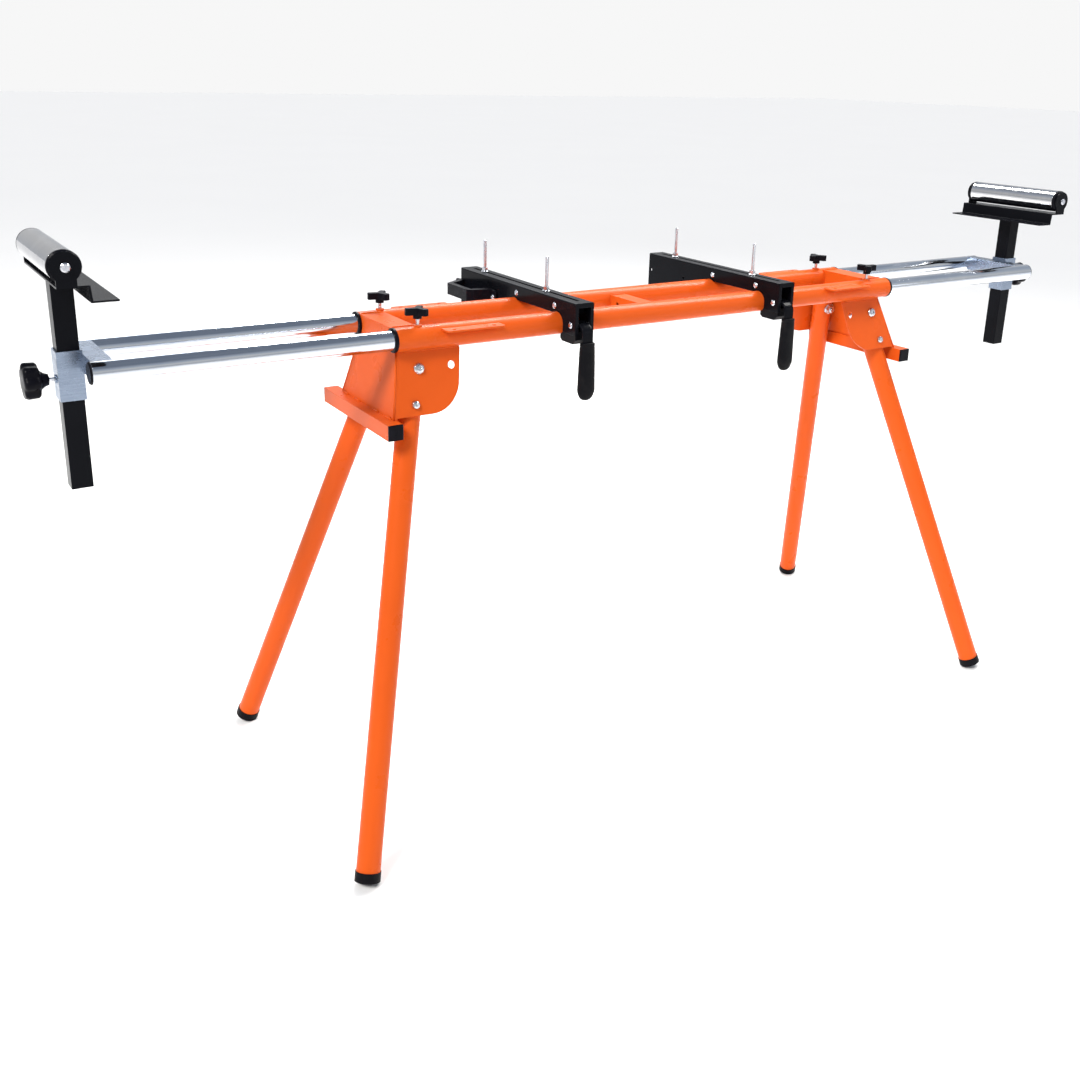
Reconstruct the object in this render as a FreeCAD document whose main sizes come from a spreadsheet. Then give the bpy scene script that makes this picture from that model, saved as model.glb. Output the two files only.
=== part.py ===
import FreeCAD, Part
import math
import os
import re

import Sketcher
from FreeCAD import Placement, Rotation, Vector

# Folding work stand for a mitre saw. +X runs along the main tubes, +Y to the rear, +Z up.
# The origin is on the floor, under the middle of the frame. Lengths are in mm, angles in degrees.
SIZES = [
    # main frame
    ("frame_length", 1083, "length of each main tube"),
    ("tube_height", 800, "main tube axis above the floor"),
    ("tube_spacing", 141, "front to rear main tube, axis to axis"),
    ("tube_dia", 38.1, "outside diameter of the main tubes"),
    ("tube_wall", 1.6, "wall of the main tubes"),
    ("channel_width", 42, "end channel along X"),
    ("channel_depth", 30, "end channel top to bottom"),
    ("channel_wall", 2.5, "sheet of the end channels"),
    ("channel_sink", 1.5, "end channel top below the tube tops"),
    ("member_offset", 30, "centre cross member, to the left of the middle"),
    ("member_width", 31, "centre cross member along X"),
    ("member_depth", 28, "centre cross member top to bottom"),
    ("member_sink", 9, "centre cross member top below the tube tops"),
    ("member_wall", 2, "wall of the centre cross member"),
    ("member_hole", 8, "hole in the centre cross member"),
    ("strip_length", 104, "accessory strip along X"),
    ("strip_width", 25, "accessory strip along Y"),
    ("strip_thick", 3, "accessory strip thickness"),
    ("strip_inset", 75.5, "accessory strip outer end from the tube end"),
    ("strip_hole", 7, "screw hole in an accessory strip"),
    ("strip_pitch", 72, "spacing of the two holes in a strip"),
    # leg brackets
    ("splay_angle", 17.1, "sideways tilt of the bracket flanges and legs"),
    ("lean_angle", 14.4, "outward lean of an opened leg within its flange"),
    ("plate_lean_left", 11.3, "outward lean of the left bracket end plate"),
    ("plate_lean_right", 17.3, "outward lean of the right bracket end plate"),
    ("bracket_thick", 3, "bracket sheet"),
    ("bracket_corner", 114.5, "bracket inner top corner from the tube end"),
    ("bracket_slope", 17.5, "how far the inner edge draws in going down"),
    ("bracket_drop", 98.5, "bracket flange height below the main tube"),
    ("plate_skirt", 2.5, "end plate below the flanges, down to the crossbar"),
    ("plate_inset_left", 2.5, "left end plate top from the tube end"),
    ("plate_inset_right", 15, "right end plate top from the tube end"),
    ("relief_dia", 6, "bend relief at the foot of the end plate"),
    ("flange_round", 55, "rounded lower inner corner of a flange"),
    ("pivot_inset", 37.5, "leg pivot from the tube end"),
    ("pivot_drop", 28, "leg pivot below the main tube, on the flange face"),
    ("lock_pitch", 58, "leg pivot to lock hole and fold hole"),
    ("lock_hole", 13, "lock hole and fold hole"),
    ("bar_size", 25, "crossbar square section"),
    ("bar_wall", 1.6, "crossbar wall"),
    ("bar_place", 24, "crossbar centre line outward of the tube end"),
    ("bar_length", 262, "crossbar with its end caps"),
    ("bar_shift", 6.5, "crossbar middle to the rear of the frame middle"),
    ("cap_face", 3, "crossbar end cap outside the bar"),
    ("cap_plug", 12, "crossbar end cap inside the bar"),
    # legs
    ("leg_dia", 38.1, "outside diameter of a leg"),
    ("leg_wall", 1.5, "leg wall"),
    ("leg_gap", 1.2, "leg to flange"),
    ("leg_head", 18, "leg above its pivot"),
    ("bolt_dia", 10, "leg pivot bolt"),
    ("bolt_head", 18, "leg pivot bolt head"),
    ("nut_flats", 17, "leg pivot nut across flats"),
    ("nut_height", 8, "leg pivot nut"),
    ("washer_dia", 22, "washer under the pivot nut"),
    ("washer_thick", 2, "washer under the pivot nut"),
    ("foot_round", 40, "radius of the domed foot sole"),
    ("foot_dia", 40.5, "foot collar"),
    ("foot_collar", 12, "foot collar up the leg"),
    ("foot_plug", 25, "foot plug inside the leg"),
    ("button_dome", 6, "lock button standing out of the flange"),
    ("run_gap", 0.06, "radial clearance of sliding and turning fits"),
    ("free_gap", 0.35, "clearance where parts only pass each other"),
    # lock knobs on the main tubes
    ("knob_inset_left", 40.5, "left lock knobs from the tube end"),
    ("knob_inset_right", 53, "right lock knobs from the tube end"),
    ("knob_reach", 20, "lock knob centre to the end of an arm"),
    ("knob_arm", 11, "lock knob arm width"),
    ("knob_thick", 11, "lock knob arm height"),
    ("knob_hub", 14, "lock knob hub diameter"),
    ("knob_hub_high", 6, "lock knob hub height"),
    ("knob_lift", 12, "bottom of the lock knob hub above the main tube"),
    ("stud_dia", 6, "threaded stud of the lock and star knobs"),
    ("boss_dia", 14, "threaded boss on a main tube"),
    ("boss_high", 2, "threaded boss above the main tube"),
    # sliding extensions
    ("slide_dia", 31.75, "extension tube diameter"),
    ("slide_wall", 1.5, "extension tube wall"),
    ("slide_reach", 449, "extension tube beyond the main tube"),
    ("slide_overlap", 90, "extension tube inside the main tube"),
    ("bush_face", 5, "bush collar outside the main tube"),
    ("bush_depth", 16, "bush inside the main tube"),
    ("glide_length", 15, "glide on the inner end of an extension tube"),
    ("plug_face", 3, "end plug outside the extension tube"),
    ("plug_depth", 14, "end plug inside the extension tube"),
    ("yoke_width", 28.5, "extension cross channel along X"),
    ("yoke_depth", 28, "extension cross channel top to bottom"),
    ("yoke_wall", 2.5, "extension cross channel sheet"),
    ("yoke_inset", 2, "cross channel outer face from the extension tube end"),
    # posts and rollers
    ("post_size", 30, "support post square section"),
    ("post_wall", 2, "support post wall"),
    ("post_length", 304.8, "support post"),
    ("post_rise_left", 124.8, "left post top above the main tube axis"),
    ("post_rise_right", 129, "right post top above the main tube axis"),
    ("sleeve_wall", 2.4, "square sleeve wall"),
    ("sleeve_high", 71, "square sleeve height"),
    ("sleeve_rise", 21, "square sleeve top above the main tube axis"),
    ("star_drop", 20, "star knob axis below the main tube axis"),
    ("star_dia", 54, "star knob over its lobes"),
    ("star_thick", 27, "star knob thickness"),
    ("star_stand", 17, "star knob hub length"),
    ("head_length", 232, "roller bracket over its ears"),
    ("head_thick", 2.5, "roller bracket sheet"),
    ("axle_out", 11, "roller axle outward of the post axis"),
    ("axle_up", 27.5, "roller axle above the bracket base"),
    ("ear_round", 20, "rounded top of a bracket ear"),
    ("ear_neck", 26, "width of a bracket ear at its foot"),
    ("stop_drop", 21, "stop plate below the bracket base"),
    ("stop_lip", 35, "stop plate lip towards the saw"),
    ("roller_dia", 44, "roller diameter"),
    ("roller_wall", 1.5, "roller wall"),
    ("roller_cap", 6, "roller end cap outside the roller tube"),
    ("axle_dia", 8, "roller axle bolt"),
    ("end_play", 1.5, "gap between a roller cap and its ear"),
    # tool mounts
    ("mount_place_left", 225, "left tool mount from the middle of the frame"),
    ("mount_place_right", 221, "right tool mount from the middle of the frame"),
    ("mount_width", 36, "tool mount channel along X"),
    ("mount_sheet", 2.5, "tool mount sheet"),
    ("mount_rise", 42, "tool mount top above the main tube axis"),
    ("mount_front", 57.5, "tool mount front beyond the front tube axis"),
    ("mount_rear", 197.5, "tool mount rear beyond the rear tube axis"),
    ("web_rise", 16, "side plate lower edge between the tubes, above the tube axis"),
    ("rear_drop", 26, "side plate lower edge behind the rear tube, below the tube axis"),
    ("front_drop", 12, "side plate lower edge in front, below the tube axis"),
    ("slot_width", 6.6, "stud slot width"),
    ("slot_front", 20, "stud slot end from the mount front"),
    ("slot_rear", 20, "stud slot end from the mount rear"),
    ("pad_reach", 13, "saddle pad each side of a tube axis"),
    ("rivet_in", 8, "pad rivet inward of the tube axis"),
    ("rivet_rise", 28, "pad rivet above the tube axis"),
    ("rivet_dia", 6, "rivet and lever pin shank"),
    ("rivet_head", 11, "rivet and lever pin head"),
    ("pin_out", 42.5, "lever pin beyond the front tube axis"),
    ("pin_rise", 3.5, "lever pin above the tube axis"),
    ("lever_width", 20, "clamp lever strap width"),
    ("lever_thick", 5, "clamp lever strap thickness"),
    ("lever_out", 25, "clamp lever strap forward of its pin"),
    ("grip_start", 26, "grip top below the lever pin"),
    ("strap_tail", 30, "lever strap inside the grip"),
    ("grip_length", 98, "lever grip length"),
    ("grip_wide", 32, "lever grip width at its end"),
    ("grip_neck", 26, "lever grip width at its top"),
    ("grip_deep", 18, "lever grip front to rear"),
    ("jaw_drop", 28, "clamp jaw bottom below the tube axis"),
    ("jaw_out", 54, "clamp jaw front beyond the front tube axis"),
    ("screw_stud", 6, "threaded saw stud diameter"),
    ("stud_rise", 59, "saw stud above the mount top"),
    ("stud_front_left", 62.5, "left front saw stud behind the front tube axis"),
    ("stud_front_right", 39, "right front saw stud behind the front tube axis"),
    ("stud_spread_left", 216, "left saw studs, front to rear"),
    ("stud_spread_right", 236, "right saw studs, front to rear"),
    ("flange_nut", 14.2, "flange of a saw stud nut"),
    ("stud_nut", 10, "saw stud nut across flats"),
    ("stud_nut_high", 8, "saw stud nut height"),
    ("handle_pitch", 108, "carry handle screw spacing"),
    ("handle_rear", 8, "rear handle screw from the mount rear"),
    ("handle_out", 46, "carry handle reach from the side plate"),
    ("handle_high", 21, "carry handle band height"),
    ("handle_thick", 10, "carry handle band thickness"),
]

doc = FreeCAD.newDocument("saw_stand")
sheet = doc.addObject("Spreadsheet::Sheet", "sizes")
for row, (alias, value, note) in enumerate(SIZES, 1):
    sheet.set(f"A{row}", note)
    sheet.set(f"B{row}", str(value))
    sheet.setAlias(f"B{row}", alias)
doc.recompute()
NAMES = {alias for alias, _, _ in SIZES}
PARTS = []


def bound(text):
    """An expression on the sheet's aliases, written with their bare names."""
    return re.sub(r"[a-z_]+", lambda m: "sizes." + m[0] if m[0] in NAMES else m[0], text)


def size(text):
    """The present value of such an expression."""
    return float(sheet.evalExpression(bound(text)))


def bind(thing, **properties):
    for name, text in properties.items():
        thing.setExpression(name, bound(text))


def aligned(origin, z_axis, x_axis):
    """A placement whose local Z and X run along the given directions."""
    z_dir = Vector(z_axis).normalize()
    y_dir = z_dir.cross(Vector(x_axis)).normalize()
    return Placement(Vector(origin), Rotation(y_dir.cross(z_dir), y_dir, z_dir, "ZXY"))


# ---- sketch and feature helpers

def new_body(label, at=None):
    body = doc.addObject("PartDesign::Body", label)
    body.Label = label
    if at is not None:
        body.Placement = at
    return body


def new_sketch(body, role="XY_Plane"):
    sketch = body.newObject("Sketcher::SketchObject", body.Name + "_sketch")
    plane = next(f for f in body.Origin.OriginFeatures if f.Role == role)
    sketch.AttachmentSupport = [(plane, "")]
    sketch.MapMode = "FlatFace"
    return sketch


def fix_point(sketch, geo, pos, x_text, y_text):
    """Ties a point of the sketch to the origin by two bound distances."""
    for text, kind, axis in ((x_text, "DistanceX", -2), (y_text, "DistanceY", -1)):
        if text == "0":
            sketch.addConstraint(Sketcher.Constraint("PointOnObject", geo, pos, axis))
        else:
            index = sketch.addConstraint(Sketcher.Constraint(kind, -1, 1, geo, pos, size(text)))
            sketch.setExpression(f"Constraints[{index}]", bound(text))


def circle(sketch, radius, x="0", y="0"):
    centre = Vector(size(x), size(y), 0)
    geo = sketch.addGeometry(Part.Circle(centre, Vector(0, 0, 1), size(radius)), False)
    index = sketch.addConstraint(Sketcher.Constraint("Radius", geo, size(radius)))
    sketch.setExpression(f"Constraints[{index}]", bound(radius))
    fix_point(sketch, geo, 3, x, y)


def outline(sketch, points):
    """A closed loop of straight edges through (x, y) pairs of expressions."""
    corners = [Vector(size(x), size(y), 0) for x, y in points]
    first = None
    for i, corner in enumerate(corners):
        line = Part.LineSegment(corner, corners[(i + 1) % len(corners)])
        geo = sketch.addGeometry(line, False)
        first = geo if first is None else first
        fix_point(sketch, geo, 1, *points[i])
    for i in range(len(corners)):
        after = first + (i + 1) % len(corners)
        sketch.addConstraint(Sketcher.Constraint("Coincident", first + i, 2, after, 1))


def oblong(sketch, wide, high, x="0", y="0"):
    """A rectangle of the given sizes about a centre."""
    left, right = f"{x} - ({wide}) / 2", f"{x} + ({wide}) / 2"
    low, top = f"{y} - ({high}) / 2", f"{y} + ({high}) / 2"
    outline(sketch, [(left, low), (right, low), (right, top), (left, top)])


def pad(body, sketch, length, back=False):
    feature = body.newObject("PartDesign::Pad", body.Name + "_pad")
    feature.Profile = sketch
    bind(feature, Length=length)
    feature.Reversed = back
    sketch.Visibility = False
    doc.recompute()
    return feature


def pocket(body, sketch, depth=None, back=False):
    """Cuts to a depth, or right through when no depth is given, and checks that it cut."""
    before = body.Shape.Volume
    feature = body.newObject("PartDesign::Pocket", body.Name + "_pocket")
    feature.Profile = sketch
    if depth is None:
        feature.Type = 1
    else:
        bind(feature, Length=depth)
    feature.Reversed = back
    doc.recompute()
    if body.Shape.Volume > before - 0.5:
        raise RuntimeError(f"{feature.Name} cut nothing")
    return feature


def revolve(body, sketch, axis="V_Axis"):
    feature = body.newObject("PartDesign::Revolution", body.Name + "_turn")
    feature.Profile = sketch
    feature.ReferenceAxis = (sketch, [axis])
    feature.Angle = 360
    doc.recompute()
    return feature


def repeat(body, feature, sketch, count):
    """Repeats a feature about the normal through a sketch's origin."""
    pattern = body.newObject("PartDesign::PolarPattern", body.Name + "_repeat")
    pattern.Originals = [feature]
    pattern.Axis = (sketch, ["N_Axis"])
    pattern.Angle = 360
    pattern.Occurrences = count
    body.Tip = pattern
    doc.recompute()


def soften(body, radius, choose, kind="PartDesign::Fillet"):
    """Rounds or bevels the edges of the body's tip that choose() accepts (in body coordinates)."""
    tip = body.Tip
    edges = [f"Edge{i}" for i, e in enumerate(tip.Shape.Edges, 1) if choose(e)]
    if not edges:
        raise RuntimeError(f"{body.Label} has no such edge")
    feature = body.newObject(kind, body.Name + "_soft")
    feature.Base = (tip, edges)
    bind(feature, **{"Radius" if kind.endswith("Fillet") else "Size": radius})
    doc.recompute()
    return feature


def runs_along(edge, axis):
    """True for a straight edge parallel to an axis (0, 1 or 2)."""
    if not isinstance(edge.Curve, Part.Line):
        return False
    return abs(abs(edge.Curve.Direction[axis]) - 1) < 1e-6


def middle(edge):
    return edge.valueAt((edge.FirstParameter + edge.LastParameter) / 2)


def keep(thing, label=None):
    """Lists an object as a sub-part to be written out."""
    if label:
        thing.Label = label
    PARTS.append(thing)
    return thing


def group(label, pieces):
    """Several separate solids that share one node."""
    node = doc.addObject("Part::Compound", label)
    node.Links = pieces
    return keep(node, label)


def pipe(label, at, outer, inner, length):
    """A round tube standing on its own XY plane."""
    body = new_body(label, at)
    sketch = new_sketch(body)
    circle(sketch, outer)
    circle(sketch, inner)
    pad(body, sketch, length)
    return body


def cylinder(label, at, radius, height):
    thing = doc.addObject("Part::Cylinder", label)
    bind(thing, Radius=radius, Height=height)
    thing.Placement = at
    return thing


def cut(label, base, tools):
    """A boolean cut of one object by several."""
    if len(tools) == 1:
        tool = tools[0]
    else:
        tool = doc.addObject("Part::MultiFuse", label + "_tools")
        tool.Shapes = tools
    result = doc.addObject("Part::Cut", label)
    result.Base = base
    result.Tool = tool
    result.Label = label
    return result


# ---- shared places

X_DIR, Y_DIR, Z_DIR = Vector(1, 0, 0), Vector(0, 1, 0), Vector(0, 0, 1)
SIDES = (("left", -1), ("right", 1))
ROWS = (("front", -1), ("rear", 1))
HALF = size("frame_length / 2")
AXIS_Z = size("tube_height")
ROW_Y = size("tube_spacing / 2")
TUBE_R = size("tube_dia / 2")
SPLAY = math.radians(size("splay_angle"))
LEAN = math.radians(size("lean_angle"))


def at_x_run(x, y, z):
    """Local Z along +X and local X along +Y, at a point."""
    return aligned((x, y, z), X_DIR, Y_DIR)


def leg_frame(side, row):
    """Outward normal of the flange, direction of the opened leg and the pivot on the flange face."""
    normal = Vector(0, row * math.cos(SPLAY), math.sin(SPLAY))
    down = Vector(0, row * math.sin(SPLAY), -math.cos(SPLAY))
    along = down * math.cos(LEAN) + X_DIR * side * math.sin(LEAN)
    drop = size("pivot_drop")
    pivot = Vector(
        side * (HALF - size("pivot_inset")),
        row * (ROW_Y + drop * math.tan(SPLAY)),
        AXIS_Z - TUBE_R - drop,
    )
    return normal, along, pivot


# ---- main frame

def main_tube(row_name, row):
    """Powder-coated tube with a threaded boss near each end for the extension lock."""
    body = new_body(f"main_tube_{row_name}", at_x_run(-HALF, row * ROW_Y, AXIS_Z))
    sketch = new_sketch(body)
    circle(sketch, "tube_dia / 2")
    pad(body, sketch, "frame_length")
    ends = ("knob_inset_left", "frame_length - knob_inset_right")
    bosses = new_sketch(body, "XZ_Plane")
    for end in ends:
        circle(bosses, "boss_dia / 2", "0", end)
    # Local X is world Y, so the world's up is the local Y axis.
    boss = pad(body, bosses, "tube_dia / 2 + boss_high", back=True)
    if body.Shape.BoundBox.ZMax < AXIS_Z + TUBE_R + size("boss_high") - 0.1:
        boss.Reversed = False
    bore = new_sketch(body)
    circle(bore, "tube_dia / 2 - tube_wall")
    pocket(body, bore, back=True)
    holes = new_sketch(body, "XZ_Plane")
    for end in ends:
        circle(holes, "stud_dia / 2 + run_gap", "0", end)
    pocket(body, holes, "tube_dia / 2 + boss_high + 1", back=not boss.Reversed)
    return keep(body)


def end_channel(side_name, side):
    """Folded channel, open downwards, welded between the main tubes at their ends."""
    start = side * HALF if side < 0 else side * HALF - size("channel_width")
    at = Placement(Vector(start, -ROW_Y, AXIS_Z), Rotation())
    body = new_body(f"end_channel_{side_name}", at)
    sketch = new_sketch(body, "XZ_Plane")
    top, low = "tube_dia / 2 - channel_sink", "tube_dia / 2 - channel_sink - channel_depth"
    outline(sketch, [
        ("0", low), ("0", top), ("channel_width", top), ("channel_width", low),
        ("channel_width - channel_wall", low), ("channel_width - channel_wall", f"{top} - channel_wall"),
        ("channel_wall", f"{top} - channel_wall"), ("channel_wall", low),
    ])
    pad(body, sketch, "tube_spacing", back=True)
    saddle = new_sketch(body, "YZ_Plane")
    circle(saddle, "tube_dia / 2", "0", "0")
    circle(saddle, "tube_dia / 2", "tube_spacing", "0")
    pocket(body, saddle, back=True)
    return body


def cross_member():
    """Box section welded between the main tubes, off centre."""
    at = Placement(Vector(-size("member_offset"), -ROW_Y, AXIS_Z), Rotation())
    body = new_body("centre_cross_member", at)
    sketch = new_sketch(body, "XZ_Plane")
    middle_z = "tube_dia / 2 - member_sink - member_depth / 2"
    oblong(sketch, "member_width", "member_depth", "0", middle_z)
    oblong(sketch, "member_width - 2 * member_wall", "member_depth - 2 * member_wall", "0", middle_z)
    pad(body, sketch, "tube_spacing", back=True)
    saddle = new_sketch(body, "YZ_Plane")
    circle(saddle, "tube_dia / 2", "0", "0")
    circle(saddle, "tube_dia / 2", "tube_spacing", "0")
    for back in (True, False):
        pocket(body, saddle, back=back)
    hole = new_sketch(body, "YZ_Plane")
    circle(hole, "member_hole / 2", "tube_spacing - tube_dia / 2 - member_hole - 12", middle_z)
    pocket(body, hole)
    return body


def accessory_strip(side, row):
    """Flat strip with two screw holes, welded along the outer shoulder of a main tube."""
    outer = HALF - size("strip_inset")
    start = -outer if side < 0 else outer - size("strip_length")
    inner_y = size("tube_dia / 2 * 0.6")
    low = size("tube_dia / 2 * 0.58")
    at = Placement(Vector(start, row * (ROW_Y + inner_y), AXIS_Z + low), Rotation())
    if row < 0:
        at = at.multiply(Placement(Vector(size("strip_length"), 0, 0), Rotation(Z_DIR, 180)))
    body = new_body(f"strip_{side + 1}{row + 1}", at)
    sketch = new_sketch(body)
    outline(sketch, [("0", "0"), ("strip_length", "0"), ("strip_length", "strip_width"), ("0", "strip_width")])
    for sign in ("-", "+"):
        circle(sketch, "strip_hole / 2", f"strip_length / 2 {sign} strip_pitch / 2", "strip_width * 0.6")
    pad(body, sketch, "strip_thick")
    soften(body, "strip_width / 5", lambda e: runs_along(e, 2) and middle(e).y > size("strip_width") - 0.1)
    rod = cylinder(f"{body.Name}_rod", at_x_run(-HALF, row * ROW_Y, AXIS_Z), "tube_dia / 2", "frame_length")
    return cut(f"{body.Name}_fitted", body, [rod])


def leg_bracket(side_name, side):
    """One folded sheet: a leaning end plate and two splayed flanges, trimmed to the tubes above."""
    top_z = AXIS_Z - TUBE_R
    rise = "bracket_thick * 2"
    drop = "(bracket_drop + plate_skirt)"
    face_x = f"(frame_length / 2 - plate_inset_{side_name})"
    inner_x = "(frame_length / 2 - bracket_corner)"
    tan_x = f"tan(plate_lean_{side_name} * 1 deg)"
    tan_y = "tan(splay_angle * 1 deg)"
    yaw = Rotation(Z_DIR, 0 if side > 0 else 180)

    def shell(name, inset):
        """A tapering block bounded by the outer or the inner faces of the sheet."""
        block = doc.addObject("Part::Wedge", f"bracket_{side_name}_{name}")
        sheet_x = f"bracket_thick / cos(plate_lean_{side_name} * 1 deg)" if inset else "0"
        sheet_y = "bracket_thick / cos(splay_angle * 1 deg)" if inset else "0"
        start_x = f"{inner_x} - bracket_thick" if inset else inner_x
        bind(
            block,
            Ymin="0", Ymax=f"{rise} + {drop}",
            Xmin=start_x, X2min=start_x,
            Xmax=f"{face_x} - {rise} * {tan_x} - {sheet_x}",
            X2max=f"{face_x} + {drop} * {tan_x} - {sheet_x}",
            Zmin=f"{sheet_y} - tube_spacing / 2 + {rise} * {tan_y}",
            Zmax=f"tube_spacing / 2 - {rise} * {tan_y} - {sheet_y}",
            Z2min=f"{sheet_y} - tube_spacing / 2 - {drop} * {tan_y}",
            Z2max=f"tube_spacing / 2 + {drop} * {tan_y} - {sheet_y}",
        )
        # The wedge grows along its own Y axis, which points down.
        block.Placement = Placement(Vector(0, 0, top_z + size(rise)), yaw.multiply(Rotation(X_DIR, -90)))
        return block

    skin = cut(f"bracket_{side_name}_skin", shell("outer", False), [shell("inner", True)])
    trim = new_body(f"bracket_{side_name}_trim")
    face = new_sketch(trim, "XZ_Plane")
    corner = f"{inner_x} + bracket_slope"
    fold = f"{face_x} + bracket_drop * {tan_x} - 2 * bracket_thick"
    outer = f"{face_x} + {drop} * {tan_x} + bracket_thick"
    outline(face, [
        (inner_x, "-1"), (corner, "-bracket_drop"), (fold, "-bracket_drop"), (fold, f"-{drop}"),
        (outer, f"-{drop}"), (outer, rise), (f"{inner_x} + bracket_thick * 3", rise),
    ])
    pad(trim, face, "tube_spacing * 3")
    soften(trim, "flange_round", lambda e: runs_along(e, 1) and abs(middle(e).x - size(corner)) < 0.1)
    soften(trim, "bracket_thick * 2", lambda e: runs_along(e, 1) and abs(middle(e).x - size(inner_x)) < 0.1)
    trim.Placement = Placement(Vector(0, 0, top_z), yaw).multiply(
        Placement(Vector(0, size("tube_spacing * 1.5"), 0), Rotation()))
    blank = doc.addObject("Part::MultiCommon", f"bracket_{side_name}_blank")
    blank.Shapes = [skin, trim]
    tools = []
    foot_y = size(f"tube_spacing / 2 + {drop} * {tan_y} - 4 * bracket_thick")
    for row_name, row in ROWS:
        name = f"bracket_{side_name}_{row_name}"
        relief = Vector(side * HALF, row * foot_y, top_z - size(drop))
        tools.append(cylinder(f"{name}_relief", aligned(relief, X_DIR * side, Y_DIR), "relief_dia / 2",
                              "bracket_corner"))
        tools.append(cylinder(f"{name}_rod", at_x_run(-HALF - 50, row * ROW_Y, AXIS_Z), "tube_dia / 2",
                              "frame_length + 100"))
        normal, along, pivot = leg_frame(side, row)
        pitch = size("lock_pitch")
        spots = (
            ("pivot", pivot, "bolt_dia / 2"),
            ("lock", pivot + along * pitch, "lock_hole / 2"),
            ("fold", pivot - X_DIR * side * pitch, "lock_hole / 2"),
        )
        for spot_name, spot, radius in spots:
            start = spot - normal * size("bracket_thick * 2")
            tools.append(cylinder(f"{name}_{spot_name}", aligned(start, normal, X_DIR), radius,
                                  "bracket_thick * 4"))
    return keep(cut(f"leg_bracket_{side_name}", blank, tools))


def crossbar(side_name, side):
    """Square tube fixed across the foot of the end plate."""
    x = side * (HALF + size("bar_place"))
    z = AXIS_Z - TUBE_R - size("bracket_drop + plate_skirt + bar_size / 2")
    length = size("bar_length - 2 * cap_face")
    shift = size("bar_shift")
    body = new_body(f"crossbar_{side_name}", aligned((x, shift - length / 2, z), Y_DIR, X_DIR))
    sketch = new_sketch(body)
    oblong(sketch, "bar_size", "bar_size")
    oblong(sketch, "bar_size - 2 * bar_wall", "bar_size - 2 * bar_wall")
    pad(body, sketch, "bar_length - 2 * cap_face")
    caps = []
    for row_name, row in ROWS:
        at = aligned((x, shift + row * length / 2, z), Y_DIR * row, X_DIR)
        cap = new_body(f"cap_{side_name}_{row_name}", at)
        face_sketch = new_sketch(cap)
        oblong(face_sketch, "bar_size", "bar_size")
        pad(cap, face_sketch, "cap_face")
        soften(cap, "cap_face / 3", lambda e: middle(e).z > size("cap_face") - 0.1, "PartDesign::Chamfer")
        plug = new_sketch(cap)
        oblong(plug, "bar_size - 2 * bar_wall", "bar_size - 2 * bar_wall")
        pad(cap, plug, "cap_plug", back=True)
        caps.append(cap)
    return body, caps


def bush(side, row):
    """Plastic bush that guides an extension tube at the mouth of a main tube."""
    body = new_body(f"bush_{side + 1}{row + 1}", aligned((side * HALF, row * ROW_Y, AXIS_Z), X_DIR * side, Y_DIR))
    sketch = new_sketch(body, "XZ_Plane")
    bore = "slide_dia / 2 + run_gap"
    outline(sketch, [
        (bore, "-bush_depth"), ("tube_dia / 2 - tube_wall", "-bush_depth"), ("tube_dia / 2 - tube_wall", "0"),
        ("tube_dia / 2 + 0.5", "0"), ("tube_dia / 2 + 0.5", "bush_face - 1.5"),
        ("tube_dia / 2 - 1", "bush_face"), (bore, "bush_face"),
    ])
    revolve(body, sketch)
    return body


def pivot_bolt(side, row):
    """Domed socket bolt through flange and leg, with its washer and nut on the leg's inner side."""
    normal, _, pivot = leg_frame(side, row)
    name = f"{side + 1}{row + 1}"
    body = new_body(f"bolt_{name}", aligned(pivot, normal, X_DIR))
    sketch = new_sketch(body, "XZ_Plane")
    through = "bracket_thick + leg_gap + leg_dia"
    outline(sketch, [
        ("0", f"-({through}) - washer_thick - nut_height - 3"),
        ("bolt_dia / 2 - 0.8", f"-({through}) - washer_thick - nut_height - 3"),
        ("bolt_dia / 2", f"-({through}) - washer_thick - nut_height - 2.2"),
        ("bolt_dia / 2", "0"), ("bolt_head / 2", "0"), ("bolt_head / 2", "bolt_dia * 0.2"),
        ("bolt_head / 2 * 0.82", "bolt_dia * 0.42"), ("bolt_head / 2 * 0.5", "bolt_dia * 0.55"),
        ("0", "bolt_dia * 0.6"),
    ])
    revolve(body, sketch)
    socket = doc.addObject("Part::Prism", f"socket_{name}")
    socket.Polygon = 6
    bind(socket, Circumradius="bolt_dia * 0.3", Height="bolt_dia")
    socket.Placement = aligned(pivot + normal * size("bolt_dia * 0.25"), normal, X_DIR)
    bolt = cut(f"pivot_bolt_{name}", body, [socket])
    inner = pivot - normal * size(f"{through} + washer_thick")
    nut = new_body(f"pivot_nut_{name}", aligned(inner, normal, X_DIR))
    ring = new_sketch(nut)
    circle(ring, "washer_dia / 2")
    circle(ring, "bolt_dia / 2")
    pad(nut, ring, "washer_thick")
    hexagon = new_sketch(nut)
    across = "nut_flats / 2 / cos(30 deg)"
    outline(hexagon, [(f"{across} * cos({60 * i} deg)", f"{across} * sin({60 * i} deg)") for i in range(6)])
    circle(hexagon, "bolt_dia / 2")
    pad(nut, hexagon, "nut_height", back=True)
    return [bolt, nut]


# ---- legs

def leg_place(side, row):
    """Leg axis at the pivot, with local Z towards the foot and local Y out through the flange."""
    normal, along, pivot = leg_frame(side, row)
    centre = pivot - normal * size("bracket_thick + leg_gap + leg_dia / 2")
    return aligned(centre, along, normal.cross(along)), centre, along


def foot_centre():
    """Distance from the pivot to the centre of the domed sole, which then just meets the floor."""
    _, centre, along = leg_place(1, 1)
    return (centre.z - size("foot_round")) / -along.z


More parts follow.
